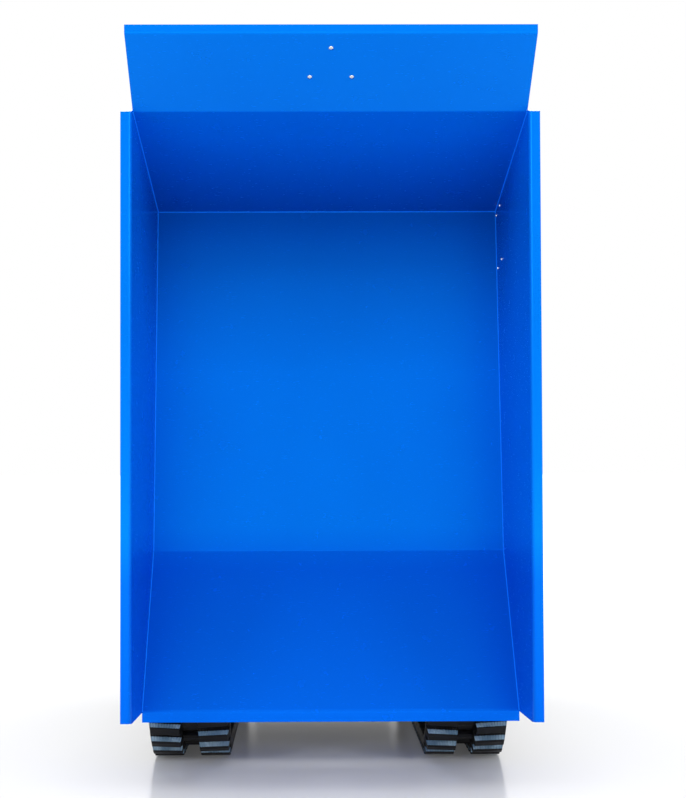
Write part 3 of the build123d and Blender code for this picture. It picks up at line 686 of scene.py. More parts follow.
skipSettings = dict(
    # forward of the rear rim corner and down from the rim, with the skip level
    hinge=(0.939, 0.519),
    rearFold=(0.114, 0.465), frontFold=(0.847, 0.371), lipBend=(1.144, 0.165), guardBase=(-0.003, 0.017),
    inner=0.740, sheet=0.004, guardLean=radians(42), boltPlate=0.005, bead=0.0019, sideBead=0.8,
    ripple=0.0032, rippleStations=4, rippleFrom=0.92, rippleBy=0.10,
    # across the guard and up it; on the wall, forward and down as above
    guardBolts=[(0.0, 0.1375), (-0.0385, 0.0763), (0.0385, 0.0763)],
    wallBolts=[(0.111, 0.401), (0.124, 0.456), (0.230, 0.375), (0.242, 0.435)], boltSize=0.0038,
    nutSize=0.008,
)
hinge = Vector(joints["skip_tip"]["pos_m"])
tipped = Matrix.Rotation(-radians(joints["skip_tip"]["range_deg"][0]), 3, "X")


def skipPlace(x, spot):
    # a place in the level skip, as it stands with the skip tipped
    forward, down = spot
    hingeForward, hingeDown = skipSettings["hinge"]
    return hinge + tipped @ Vector((x, hingeForward - forward, hingeDown - down))


def addWeld(form, start, end, size, made=skipSettings):
    # a bead with a ripple for each drop of weld
    stations = made["rippleStations"]
    count = ceil((end - start).length / made["ripple"] * stations)
    points = [start.lerp(end, k / count) for k in range(count + 1)]
    waves = [made["rippleFrom"] + made["rippleBy"] * abs(sin(pi * k / stations)) for k in range(count + 1)]
    form.tube(points, [size * wave for wave in waves], sides=8)


def makeSkipWelds(made=skipSettings):
    half = made["inner"] / 2
    size = made["bead"]
    form = Form()
    rear = made["rearFold"]
    addWeld(form, skipPlace(-half, rear), skipPlace(half, rear), size)
    for x in (-half, half):
        for start, end, share in (("rearFold", "guardBase", 1), ("rearFold", "frontFold", made["sideBead"]),
                                  ("frontFold", "lipBend", made["sideBead"])):
            addWeld(form, skipPlace(x, made[start]), skipPlace(x, made[end]), size * share)
    form.keep("skipWelds", "skip_paint", "skip", [weldFinish])


def makeSkipBolts(made=skipSettings):
    # bright heads inside, painted nuts on the plates behind
    through = made["sheet"] + made["boltPlate"]
    up = tipped @ Vector((0, sin(made["guardLean"]), cos(made["guardLean"])))
    inward = -up.cross(across)
    base = skipPlace(0, made["guardBase"])
    spots = [(base + x * across + rise * up, inward) for x, rise in made["guardBolts"]]
    spots += [(skipPlace(made["inner"] / 2, spot), -across) for spot in made["wallBolts"]]
    form = Form()
    for spot, way in spots:
        form.domeBolt(frameOf(spot, way, up), made["boltSize"], material=1)
        form.hexBolt(frameOf(spot - through * way, -way, up), made["nutSize"])
    form.keep("skipBolts", "skip_paint", "skip", [weldFinish, finishes["chrome"]])


# profiles are (radius, height) pairs about the axis of what they stand on
nippleFoot = [(0.0035, -0.001), (0.0035, 0.002), (0.002, 0.0035), (0.0032, 0.006)]
gearSettings = dict(
    rollers=4, rollerRadius=0.0517, carrierRadius=0.0357, axleBolt=0.012,
    idlerCap=[(0, 0), (0.034, 0), (0.034, 0.004), (0.032, 0.006), (0.017, 0.006), (0.015, 0.011),
              (0.011, 0.013), (0, 0.0135)],
    idlerBolts=dict(count=4, radius=0.024, height=0.006, start=pi / 4), smallBolt=0.008,
    # tensioner cover: half height, half length and thickness, and how far it lies behind the idler
    cover=(0.023, 0.042, 0.003),
    coverBack=0.134, coverBolt=0.031,
    coverPlug=[(0, 0.003), (0.013, 0.003), (0.013, 0.005), (0.009, 0.006), (0, 0.006)],
    motorCap=[(0, 0), (0.0615, -0.006), (0.0615, 0.002), (0.058, 0.004), (0.041, 0.004), (0.036, 0.009),
              (0.020, 0.011), (0, 0.0115)],
    motorBolts=dict(count=8, radius=0.050, height=0.004), motorPlugs=dict(count=2, radius=0.026),
    motorPlug=[(0.009, 0.007), (0.009, 0.013), (0.0075, 0.0145), (0, 0.0145)], sprocketBolt=0.010,
    sprocketBolts=dict(count=9, radius=0.084), bevel=0.0006,
)


def rollerSpots(side, made=gearSettings):
    # centres of the bottom rollers and of the carrier roller, read off their solids
    reach = made["rollerRadius"]
    low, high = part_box("rollers_" + side)
    step = (high.y - low.y - 2 * reach) / (made["rollers"] - 1)
    spots = [(low.y + reach + step * k, low.z + reach) for k in range(made["rollers"])]
    return spots + [((spots[1][0] + spots[2][0]) / 2, high.z - made["carrierRadius"])]


def makeRunningGearDetail(side, made=gearSettings):
    # axle bolts, bearing cap, tensioner cover, motor cover and sprocket bolts on one track frame
    sign = sides[side]
    out = sign * across
    face = endX("track_frame_" + side, sign)
    idler = middle("idler_" + side)
    motor = middle("travel_motor_" + side)
    hub = frameOf((face, idler.y, idler.z), out, upward)
    cover = frameOf((face, idler.y + made["coverBack"], idler.z), out, upward)
    drum = frameOf((endX("travel_motor_" + side, sign), motor.y, motor.z), out, upward)
    wheel = frameOf((endX("sprocket_" + side, sign), motor.y, motor.z), out, upward)
    tall, long, thick = made["cover"]
    castings = Form()
    castings.turned(made["idlerCap"], hub, 40)
    castings.block((-tall, -long, 0), (tall, long, thick), cover)
    castings.turned(made["coverPlug"], cover, 24)
    castings.turned(made["motorCap"], drum, 56)
    for spot in roundAbout(drum, **made["motorPlugs"]):
        castings.turned(made["motorPlug"], spot, 6)
    castings.soften(made["bevel"])
    castings.keep("gearCovers_" + side, "dark_steel")
    bolts = Form()
    for y, z in rollerSpots(side):
        bolts.hexBolt(frameOf((face, y, z), out, upward), made["axleBolt"])
    for end in (-1, 1):
        bolts.hexBolt(moved(cover, 0, end * made["coverBolt"], thick), made["smallBolt"])
    for spot in roundAbout(hub, **made["idlerBolts"]) + roundAbout(drum, **made["motorBolts"]):
        bolts.hexBolt(spot, made["smallBolt"], washer=False)
    for spot in roundAbout(wheel, **made["sprocketBolts"]):
        bolts.hexBolt(spot, made["sprocketBolt"])
    bolts.keep("gearBolts_" + side, "bright_steel")


frameWeldSettings = dict(
    bead=0.003, spread=0.4,
    # place along the machine, height and radius of each cross tube
    crossTubes=[(-0.330, 0.250, 0.025), (-0.020, 0.200, 0.030), (0.352, 0.200, 0.030), (0.720, 0.200, 0.030)],
    frameTube=(0.190, 0.034), eyeFoot=0.084, endGap=0.002,
)


def addRing(form, centre, radius, axis, size, start=(0, 0.3, 1)):
    # a bead round a bar; start is any direction off the bar's own
    form.tube(circle(radius, 0, 48, frameOf(centre, axis, start)), size, 8, closed=True)


def makeFrameWelds(made=frameWeldSettings):
    # beads where the cross tubes, the track frames' tubes, the lifting eyes and the hook meet their plates
    size = made["bead"]
    spread = made["spread"] * size
    plateLow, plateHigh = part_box("frame_plate_left")
    eyesLow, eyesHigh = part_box("lifting_eyes")
    hookLow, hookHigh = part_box("tow_hook")
    rollers = [y for y, z in rollerSpots("left")]
    z, radius = made["frameTube"]
    rings = [(plateLow.x, *tube) for tube in made["crossTubes"]]
    rings += [(plateHigh.x, (rollers[k] + rollers[k + 1]) / 2, z, radius) for k in (0, 2)]
    gap = made["endGap"]
    form = Form()
    for sign in (-1, 1):
        for x, y, z, radius in rings:
            addRing(form, (sign * x, y, z), radius + spread, across, size)
        for start in (eyesLow.y, eyesHigh.y - made["eyeFoot"]):
            for x in (sign * plateLow.x, sign * plateHigh.x):
                ends = (start + gap, start + made["eyeFoot"] - gap)
                form.tube([(x, y, eyesLow.z) for y in ends], size, 8)
    for z in (hookLow.z, hookHigh.z):
        form.tube([(hookLow.x, hookLow.y, z), (hookHigh.x, hookLow.y, z)], size, 8)
    form.keep("frameWelds", "black_paint")


keeperSettings = dict(
    away=(0, 0.62, -0.785), plate=((0.014, -0.011, 0), (0.046, 0.011, 0.006)), bolt=0.008,
    boltAt=(0.034, 0, 0.006), washer=[(0, 0), (0.026, 0), (0.026, 0.004), (0.024, 0.005), (0, 0.005)],
    nippleTop=[(0.0022, 0.0085), (0, 0.009)], bevel=0.0008,
)


def makeHingeKeepers(made=keeperSettings):
    # a keeper plate and bolt that stop each hinge pin from turning, the pin's washer and grease nipple
    keepers = Form()
    bolts = Form()
    for side, sign in sides.items():
        out = sign * across
        pinNode = "hinge_pin_" + side
        pin = middle(pinNode)
        faces = [(endX(node, way), way * across)
                 for node, way in (("frame_plate_" + side, sign), (pinNode, sign), (pinNode, -sign))]
        plate, end, inner = (frameOf((x, pin.y, pin.z), way, made["away"]) for x, way in faces)
        keepers.block(*made["plate"], plate)
        bolts.hexBolt(moved(plate, *made["boltAt"]), made["bolt"])
        bolts.turned(nippleFoot + made["nippleTop"], end, 12)
        bolts.turned(made["washer"], inner, 32)
    keepers.soften(made["bevel"])
    keepers.keep("hingeKeepers", "black_paint")
    bolts.keep("hingeFastenings", "bright_steel")


panelSettings = dict(
    cover=(0.066, 0.110, 0.0025), down=0.088, bevel=0.001, coverBolt=0.006, coverBoltIn=0.010, bolt=0.010,
    deckX=0.175, deckBack=(0.022, 0.045), panelX=0.186, panelRise=(0.018, 0.270),
)


def makeRearPanelDetail(made=panelSettings):
    # a flat bolted cover over the hydraulic tank's drain, and bolts through the panel and the deck
    low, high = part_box("rear_panel")
    deckLow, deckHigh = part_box("deck")
    back = deckHigh.y
    place = frameOf((0, back, high.z - made["down"]), rearward, upward)
    tall, wide, thick = made["cover"]
    cover = Form()
    cover.block((-tall, -wide, 0), (tall, wide, thick), place)
    cover.soften(made["bevel"])
    cover.keep("rearCover", "black_paint")
    bolts = Form()
    rise = tall - made["coverBoltIn"]
    reach = wide - made["coverBoltIn"]
    for x in (-reach, 0, reach):
        for z in (-rise, rise):
            bolts.domeBolt(moved(place, z, x, thick), made["coverBolt"])
    for sign in (-1, 1):
        for y in made["deckBack"]:
            spot = (sign * made["deckX"], deckLow.y + y, deckHigh.z)
            bolts.domeBolt(frameOf(spot, upward, rearward), made["bolt"])
        for z in made["panelRise"]:
            bolts.domeBolt(frameOf((sign * made["panelX"], back, low.z + z), rearward, upward), made["bolt"])
    bolts.keep("panelBolts", "bright_steel")


grilleSettings = dict(
    middle=0.680, half=(0.105, 0.190), plate=0.0012, rim=0.014, rimFrom=0.0008, rimTo=0.0075, bar=0.004,
    slats=13, slat=(0.0045, 0.0008), slatAt=0.0042, lean=radians(35), bevel=0.0005,
)


def makeRearGrille(made=grilleSettings):
    # a moulded frame of slats over the radiator's opening
    place = frameOf((0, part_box("hood")[1].y, made["middle"]), rearward, upward)
    tall, wide = made["half"]
    rim = made["rim"]
    form = Form()
    form.block((-tall, -wide, 0), (tall, wide, made["plate"]), place)
    for lowX, highX, lowY, highY in (
            (-tall, tall, -wide, rim - wide), (-tall, tall, wide - rim, wide),
            (-tall, rim - tall, rim - wide, wide - rim), (tall - rim, tall, rim - wide, wide - rim),
            (rim - tall, tall - rim, -made["bar"], made["bar"])):
        form.block((lowX, lowY, made["rimFrom"]), (highX, highY, made["rimTo"]), place)
    step = 2 * (tall - rim) / made["slats"]
    deep, thick = made["slat"]
    for k in range(made["slats"]):
        spot = leant(moved(place, rim - tall + (k + 0.5) * step, 0, made["slatAt"]), made["lean"])
        form.block((-deep, rim - wide, -thick), (deep, wide - rim, thick), spot)
    form.soften(made["bevel"])
    form.keep("rearGrille", "black_plastic")


hoodSettings = dict(fixings=5, fixing=0.008, fixingReach=0.300, fixingRise=0.018, screw=0.004, screwIn=0.007)


def makeHoodFixings(made=hoodSettings):
    # bolts along the foot of the hood, and screws in the grille's corners
    grille = grilleSettings
    low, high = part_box("hood")
    bolts = Form()
    for face, way in ((low.y, -rearward), (high.y, rearward)):
        for k in range(made["fixings"]):
            x = made["fixingReach"] * (2 * k / (made["fixings"] - 1) - 1)
            bolts.domeBolt(frameOf((x, face, low.z + made["fixingRise"]), way, upward), made["fixing"])
    tall, wide = (half - made["screwIn"] for half in grille["half"])
    for x in (-wide, wide):
        for z in (-tall, tall):
            spot = (x, high.y + grille["rimTo"], grille["middle"] + z)
            bolts.domeBolt(frameOf(spot, rearward, upward), made["screw"])
    bolts.keep("hoodBolts", "bright_steel")


doorSettings = dict(
    faceIn=0.011, louvres=7, louvreStep=0.024, louvreDown=0.070, louvreLong=0.078, louvreOut=0.0075,
    # share of the depth and height over the middle, from the top edge out to the mouth
    louvreArc=[(0.0, 0.008), (0.35, 0.0064), (0.75, 0.0025), (1.0, -0.0035)],
    # share of the half length, and share of the depth there
    louvreEnds=[(-1, 0.05), (-0.97, 0.6), (-0.9, 1.0), (0.9, 1.0), (0.97, 0.6), (1, 0.05)],
    # how far the two faces of the sheet lie out and down
    louvreFaces=((0.0002, 0), (-0.0011, 0.001)),
    latchDown=0.300, latchIn=0.036, latchPlate=((-0.055, -0.021, 0), (0.055, 0.021, 0.003)),
    latchPaddle=((-0.030, -0.015, 0.003), (0.043, 0.015, 0.0075)),
    latchGrip=((-0.034, -0.013, 0.003), (-0.022, 0.013, 0.0105)), paddleLean=radians(-3), latchBevel=0.0012,
    lockAt=(-0.045, 0, 0.003),
    lock=[(0, 0), (0.0065, 0), (0.0065, 0.002), (0.0055, 0.0028), (0.0015, 0.0028), (0.0012, 0.0012),
          (0, 0.0012)],
    latchScrew=0.003, latchScrews=[(0.049, -0.015), (0.049, 0.015), (-0.0515, -0.015), (-0.0515, 0.015)],
    hingeScrew=0.004, hingeScrews=(0.016, 0.030), hingeDown=0.124, hingeRise=0.076,
)


def makeDoorDetail(side, made=doorSettings):
    # pressed louvres, the latch with its paddle, and the hinge screws
    body = "engine_door_" + side
    sign = sides[side]
    out = sign * across
    low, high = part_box(body)
    hoodLow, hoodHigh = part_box("hood")
    hingeX, hingeY = joints["door_" + side + "_hinge"]["pos_m"][:2]
    face = hingeX - sign * made["faceIn"]
    centre = (low.y + hingeY) / 2
    arcs = (made["louvreArc"], made["louvreArc"][::-1])
    form = Form()
    for k in range(made["louvres"]):
        z = high.z - made["louvreDown"] - k * made["louvreStep"]
        rings = []
        for part, swell in made["louvreEnds"]:
            y = centre + part * made["louvreLong"]
            rings.append([Vector((face + sign * (made["louvreOut"] * a * swell + grow), y, z + b - drop))
                          for arc, (grow, drop) in zip(arcs, made["louvreFaces"]) for a, b in arc])
        form.skin(rings)
    form.keep("doorLouvres_" + side, "blue_paint", body)
    spot = frameOf((face, low.y + made["latchIn"], high.z - made["latchDown"]), out, upward)
    latch = Form()
    latch.block(*made["latchPlate"], spot)
    latch.block(*made["latchPaddle"], leant(spot, made["paddleLean"]))
    latch.block(*made["latchGrip"], spot)
    latch.soften(made["latchBevel"])
    latch.keep("doorLatch_" + side, "black_plastic", body)
    screws = Form()
    screws.turned(made["lock"], moved(spot, *made["lockAt"]), 24)
    for x, y in made["latchScrews"]:
        screws.domeBolt(moved(spot, x, y, made["latchPlate"][1][2]), made["latchScrew"])
    for z in (hoodHigh.z - made["hingeDown"], hoodLow.z + made["hingeRise"]):
        for back in made["hingeScrews"]:
            screws.domeBolt(frameOf((hingeX, hingeY - back, z), out, upward), made["hingeScrew"])
    screws.keep("doorScrews_" + side, "bright_steel", body)


capSettings = dict(
    neck=[(-0.004, 0), (-0.004, 0.006), (-0.007, 0.007)],
    # share of the cap's radius, height, and whether the grip's ribs are cut there
    side=[(0.92, 0.007, 0), (0.99, 0.009, 1), (1.0, 0.0115, 1), (1.0, 0.024, 1), (0.95, 0.0275, 1),
          (0.80, 0.0295, 0), (0.45, 0.0290, 0), (0.42, 0.0275, 0)],
    stations=96, perRib=4, ribDeep=0.045, bar=((-0.019, -0.004, 0.027), (0.019, 0.004, 0.0298)),
)


def makeFillerCaps(made=capSettings):
    # moulded caps with grip ribs, on their necks
    low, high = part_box("filler_caps")
    radius = (high.y - low.y) / 2
    form = Form()
    for x in (low.x + radius, high.x - radius):
        place = Matrix.Translation((x, (low.y + high.y) / 2, low.z))
        neck = grown(radius, made["neck"])
        form.turned([(0, 0), *neck, (0, neck[-1][1])], place, 48, material=1)
        rings = []
        for size, z, ribbed in made["side"]:
            ring = []
            for k in range(made["stations"]):
                grip = 1 - ribbed * made["ribDeep"] * (0.5 + 0.5 * cos(2 * pi * k / made["perRib"]))
                a = 2 * pi * k / made["stations"]
                ring.append(place @ Vector((radius * size * grip * cos(a), radius * size * grip * sin(a), z)))
            rings.append(ring)
        form.skin(rings)
        form.block(*made["bar"], place)
    form.keep("fillerCaps", "black_plastic", materials=[finishes["black_plastic"], finishes["bright_steel"]],
              replaced=["filler_caps"])


exhaustSettings = dict(
    # profiles from the pipe's surface
    flange=[(0, 0), (0.011, 0), (0.011, 0.003), (0.010, 0.004), (0, 0.004)],
    clamp=[(0, 0.014), (0.0022, 0.0145), (0.0022, 0.0275), (0, 0.028)],
    soot=[(-0.0045, 0.012), (-0.0045, 0.0124)], flangeBolt=0.0045, flangeBolts=(3, 0.0062, 0.004),
    clampBolt=0.005, clampBoltAt=(0.021, 0.002),
)


def makeExhaustDetail(made=exhaustSettings):
    # the pipe's flange on the hood, its clamp, and the soot inside
    low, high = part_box("exhaust")
    radius = (high.x - low.x) / 2
    spot = middle("exhaust")
    place = frameOf((spot.x, low.y, spot.z), rearward, upward)
    form = Form()
    form.turned(grown(radius, made["flange"]), place, 40)
    form.turned(grown(radius, made["clamp"]), place, 40)
    form.turned([(0, made["soot"][0][1])] + grown(radius, made["soot"]), place, 32)
    form.keep("exhaustFlange", "dark_steel")
    bolts = Form()
    count, out, height = made["flangeBolts"]
    for spot in roundAbout(place, count, radius + out, height):
        bolts.hexBolt(spot, made["flangeBolt"], washer=False)
    along, out = made["clampBoltAt"]
    bolts.hexBolt(moved(leant(moved(place, 0, 0, along), pi / 2), 0, 0, radius + out), made["clampBolt"])
    bolts.keep("exhaustBolts", "bright_steel")


treadSettings = dict(
    pitch=0.026, half=(0.0105, 0.0032),
    corners=((1, 0), (0.45, 0.8), (-0.45, 0.8), (-1, 0), (-0.45, -0.8), (0.45, -0.8)),
    # size and height of each level of a lozenge
    levels=((1.0, -0.0004), (0.8, 0.001125), (0.45, 0.0015)),
    margin=0.014, hingeStrip=0.036,
)


def makeStepTread(made=treadSettings):
    # raised lozenges, turned one way and the other, rolled into the tread plate
    low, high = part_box("step")
    margin = made["margin"]
    front = low.y + made["hingeStrip"] + margin
    long = high.y - margin - front
    wide = high.x - low.x - 2 * margin
    columns = int(wide / made["pitch"]) + 1
    rows = int(long / made["pitch"]) + 1
    form = Form()
    for i in range(columns):
        for j in range(rows):
            x = low.x + margin + (i + 0.5) * wide / columns
            y = front + (j + 0.5) * long / rows
            turn = Matrix.Rotation(pi / 4 if (i + j) % 2 else -pi / 4, 4, "Z")
            place = Matrix.Translation((x, y, high.z)) @ turn
            form.skin([[place @ Vector((a * made["half"][0] * size, b * made["half"][1] * size, z))
                        for a, b in made["corners"]] for size, z in made["levels"]])
    form.keep("stepTread", "black_paint", "step")


deskSettings = dict(
    # y and z of the slope's upper and lower edge, and how far down it the fittings sit
    front=(0.685, 1.006),
    rear=(0.765, 0.960), fittingsDown=0.68, bezel=(0.024, 0.060), bezelCut=0.006,
    # growth and height of the bezel's section, from its foot round to the glass
    bezelSection=[(0, -0.0005), (0, 0.0035), (-0.003, 0.0055), (-0.008, 0.0055), (-0.010, 0.0030)],
    displayX=0.118, display=((-0.014, -0.048, 0.0025), (0.014, 0.048, 0.0034)),
    switchX=(-0.128, -0.102, -0.076), switch=((-0.013, -0.0085, -0.001), (0.013, 0.0085, 0.003)),
    rocker=((-0.010, -0.006, 0.001), (0.010, 0.006, 0.0052)), rockerLean=radians(6), lockX=-0.035,
    lock=[(0, -0.001), (0.013, -0.001), (0.013, 0.004), (0.011, 0.006), (0.007, 0.006), (0.0065, 0.005),
          (0, 0.005)],
    key=((-0.0055, -0.0008, 0.005), (0.0055, 0.0008, 0.0075)), stopX=-0.178,
    stop=[(0, -0.001), (0.010, -0.001), (0.010, 0.010), (0.0085, 0.012), (0, 0.012)], bevel=0.0005,
    screw=0.004, screwX=0.199, screwIn=(0.014, 0.012), sideScrewIn=(0.020, 0.016), sideScrewRise=0.014,
)
deskFront = Vector((0, *deskSettings["front"]))
deskSlope = Vector((0, *deskSettings["rear"])) - deskFront


def deskPlace(x, down):
    # a place on the desk's sloping top: X down the slope towards the driver, Z out of the desk
    way = deskSlope.normalized()
    return frameOf(deskFront + way * down + x * across, way.cross(-across), way)


def makeDesk(made=deskSettings):
    # instrument display in a bezel, rocker switches, key switch and panel screws
    centre = deskSlope.length * made["fittingsDown"]
    place = deskPlace(made["displayX"], centre)
    tall, wide = made["bezel"]
    cut = made["bezelCut"]
    rings = []
    for grow, z in made["bezelSection"]:
        corners = [(a * (tall + grow - c), b * (wide + grow - d)) for a, b, c, d in (
            (-1, -1, cut, 0), (-1, -1, 0, cut), (-1, 1, 0, cut), (-1, 1, cut, 0),
            (1, 1, cut, 0), (1, 1, 0, cut), (1, -1, 0, cut), (1, -1, cut, 0))]
        rings.append([place @ Vector((a, b, z)) for a, b in corners])
    dark = Form()
    dark.skin(rings)
    for x in made["switchX"]:
        spot = deskPlace(x, centre)
        dark.block(*made["switch"], spot)
        dark.block(*made["rocker"], leant(spot, made["rockerLean"]))
    lock = deskPlace(made["lockX"], centre)
    dark.turned(made["lock"], lock, 32)
    dark.turned(made["stop"], deskPlace(made["stopX"], centre), 32, material=1)
    dark.soften(made["bevel"])
    dark.keep("deskFittings", "black_plastic", materials=[finishes["black_plastic"], stopButton])
    glass = Form()
    glass.block(*made["display"], place)
    glass.keep("deskDisplay", "black_plastic", materials=[displayGlass])
    low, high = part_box("console")
    screws = Form()
    for sign in (-1, 1):
        for down in (made["screwIn"][0], deskSlope.length - made["screwIn"][1]):
            screws.domeBolt(deskPlace(sign * made["screwX"], down), made["screw"])
        for y in (low.y + made["sideScrewIn"][0], high.y - made["sideScrewIn"][1]):
            spot = (sign * high.x, y, low.z + made["sideScrewRise"])
            screws.domeBolt(frameOf(spot, sign * across, upward), made["screw"])
    screws.block(*made["key"], lock)
    screws.keep("deskScrews", "bright_steel")


leverSettings = dict(
    levers=5, plate=[(0, -0.001), (0.019, -0.001), (0.019, 0.0012), (0.018, 0.002), (0, 0.002)],
    # the boot's pleats: the first one's two radii and heights, and the step to the next one
    pleats=5,
    pleat=[(0.0136, -0.010), (0.016, -0.0071)], pleatStep=(-0.0021, 0.0058),
    collar=[(0.0068, 0.022), (0.0066, 0.024), (0, 0.024)], stick=(0.0058, 0.036),
    # radius and depth below the top
    grip=[(0, 0.038), (0.0085, 0.038), (0.0105, 0.035), (0.0135, 0.026), (0.0148, 0.016), (0.0142, 0.008),
          (0.0115, 0.003), (0.007, 0.0008), (0, 0)],
)


def makeLevers(made=leverSettings):
    # pleated boots round the levers, and rounded grips on their sticks
    low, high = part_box("levers")
    y = (low.y + high.y) / 2
    grip = high.y - low.y
    down = (y - deskFront.y) / deskSlope.normalized().y
    inward, rise = made["pleatStep"]
    boot = [(0, made["pleat"][0][1])]
    for k in range(made["pleats"]):
        boot += [(radius + k * inward, height + k * rise) for radius, height in made["pleat"]]
    boot += made["collar"]
    form = Form()
    for k in range(made["levers"]):
        x = low.x + grip / 2 + k * (high.x - low.x - grip) / (made["levers"] - 1)
        place = deskPlace(x, down)
        form.turned(made["plate"], place, 40, material=1)
        stick = Matrix.Translation((x, y, place.translation.z))
        form.turned(boot, stick, 40, material=1)
        top = high.z - place.translation.z
        radius, short = made["stick"]
        form.turned([(0, 0), (radius, 0), (radius, top - short), (0, top - short)], stick, 20, material=2)
        form.turned([(radius, top - depth) for radius, depth in made["grip"]], stick, 32)
    names = ("black_plastic", "black_rubber", "bright_steel")
    form.keep("leverRow", "black_plastic", materials=[finishes[name] for name in names], replaced=["levers"])


railSettings = dict(foot=((-0.034, -0.018, 0), (0.034, 0.014, 0.004)), bead=0.0022, beadGap=0.001, bolt=0.006,
                    boltAt=(0.025, -0.002), bevel=0.0008)


def makeRailFeet(made=railSettings):
    # foot plates that bolt the grab rail to the hood
    low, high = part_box("grab_rail")
    radius = (high.y - low.y) / 2
    thick = made["foot"][1][2]
    x, y = made["boltAt"]
    feet = Form()
    bolts = Form()
    for sign in (-1, 1):
        place = Matrix.Translation((sign * (high.x - radius), (low.y + high.y) / 2, low.z))
        feet.block(*made["foot"], place)
        addRing(feet, place @ Vector((0, 0, thick)), radius + made["beadGap"], upward, made["bead"])
        for end in (-x, x):
            bolts.hexBolt(moved(place, end, y, thick), made["bolt"])
    feet.soften(made["bevel"])
    feet.keep("railFeet", "black_paint")
    bolts.keep("railBolts", "bright_steel")


ramSettings = dict(
    barrel=0.034, barrelEnd=0.26355, rod=0.018, eye=0.026,
    # distance from the barrel's end and growth over the barrel
    gland=[(-0.030, -0.0002), (-0.030, 0.0035), (-0.029, 0.0045), (-0.001, 0.0045), (0, 0.0035)],
    stations=96, notchEvery=6, notchWide=2, notchDeep=0.0022,
    wiper=[(0.006, 0.0012), (0.006, 0.004), (0.0045, 0.0055), (0.0003, 0.0055), (0.0003, 0.001)],
    ports=(0.058, 0.2016), portSink=0.003,
    portBoss=[(0, 0), (0.0135, 0), (0.0130, 0.009), (0.0115, 0.0105), (0, 0.0105)],
    portPlug=[(0.0095, 0.010), (0.0095, 0.017), (0.008075, 0.0185)],
    # distance along the barrel, and how far in from its surface
    barrelWelds=[(0.22705, 0), (0.0385, 0.001)],
    weld=0.0022, baseNipple=0.0275, eyeWashers=0.018,
    eyeWasher=[(0.0142, 0.0), (0.0142, 0.0012), (0.020, 0.0012), (0.0215, 0.0)], eyeNipple=0.0255,
    rodWeld=(0.0225, 0.0004, 0.0024), nippleTop=[(0, 0.0085)],
)


def makeRamDetail(made=ramSettings):
    # gland collar with spanner notches, wiper, hydraulic port bosses with plugs, grease nipples
    base = Vector(joints["cylinder_swing"]["pos_m"])
    way = Vector(joints["rod_slide"]["axis"]).normalized()
    upper = way.cross(across)
    barrel = made["barrel"]
    rod = made["rod"]
    head = frameOf(base + way * made["barrelEnd"], way, upper)
    nipple = nippleFoot + made["nippleTop"]
    form = Form()
    rings = []
    for z, grow in made["gland"]:
        ring = []
        for k in range(made["stations"]):
            a = 2 * pi * k / made["stations"]
            notched = k % made["notchEvery"] < made["notchWide"] and grow > 0
            radius = barrel + grow - notched * made["notchDeep"]
            ring.append(head @ Vector((radius * cos(a), radius * sin(a), z)))
        rings.append(ring)
    form.skin(rings, capped=False)
    edge = made["gland"][-1]
    form.turned([(barrel + edge[1], edge[0])] + grown(rod, made["wiper"]), head, 48)
    for distance in made["ports"]:
        place = frameOf(base + way * distance + upper * (barrel - made["portSink"]), upper, way)
        form.turned(made["portBoss"], place, 32)
        form.skin([circle(radius, height, 6, place) for radius, height in made["portPlug"]])
    for distance, inward in made["barrelWelds"]:
        addRing(form, base + way * distance, barrel - inward, way, made["weld"])
    form.turned(nipple, frameOf(base - upper * made["baseNipple"], -upper, way), 12)
    form.keep("ramFittings", "black_paint", "cylinder_barrel")
    low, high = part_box("cylinder_rod")
    centre = Vector((0, low.y + made["eye"], high.z - made["eye"]))
    eye = Form()
    for out in (-across, across):
        eye.turned(made["eyeWasher"], frameOf(centre + out * made["eyeWashers"], out, way), 40)
    eye.turned(nipple, frameOf(centre + upper * made["eyeNipple"], upper, way), 12)
    back, gap, size = made["rodWeld"]
    addRing(eye, base + way * ((centre - base).dot(way) - back), rod + gap, way, size)
    eye.keep("rodEyeFittings", "bright_steel", "cylinder_rod")


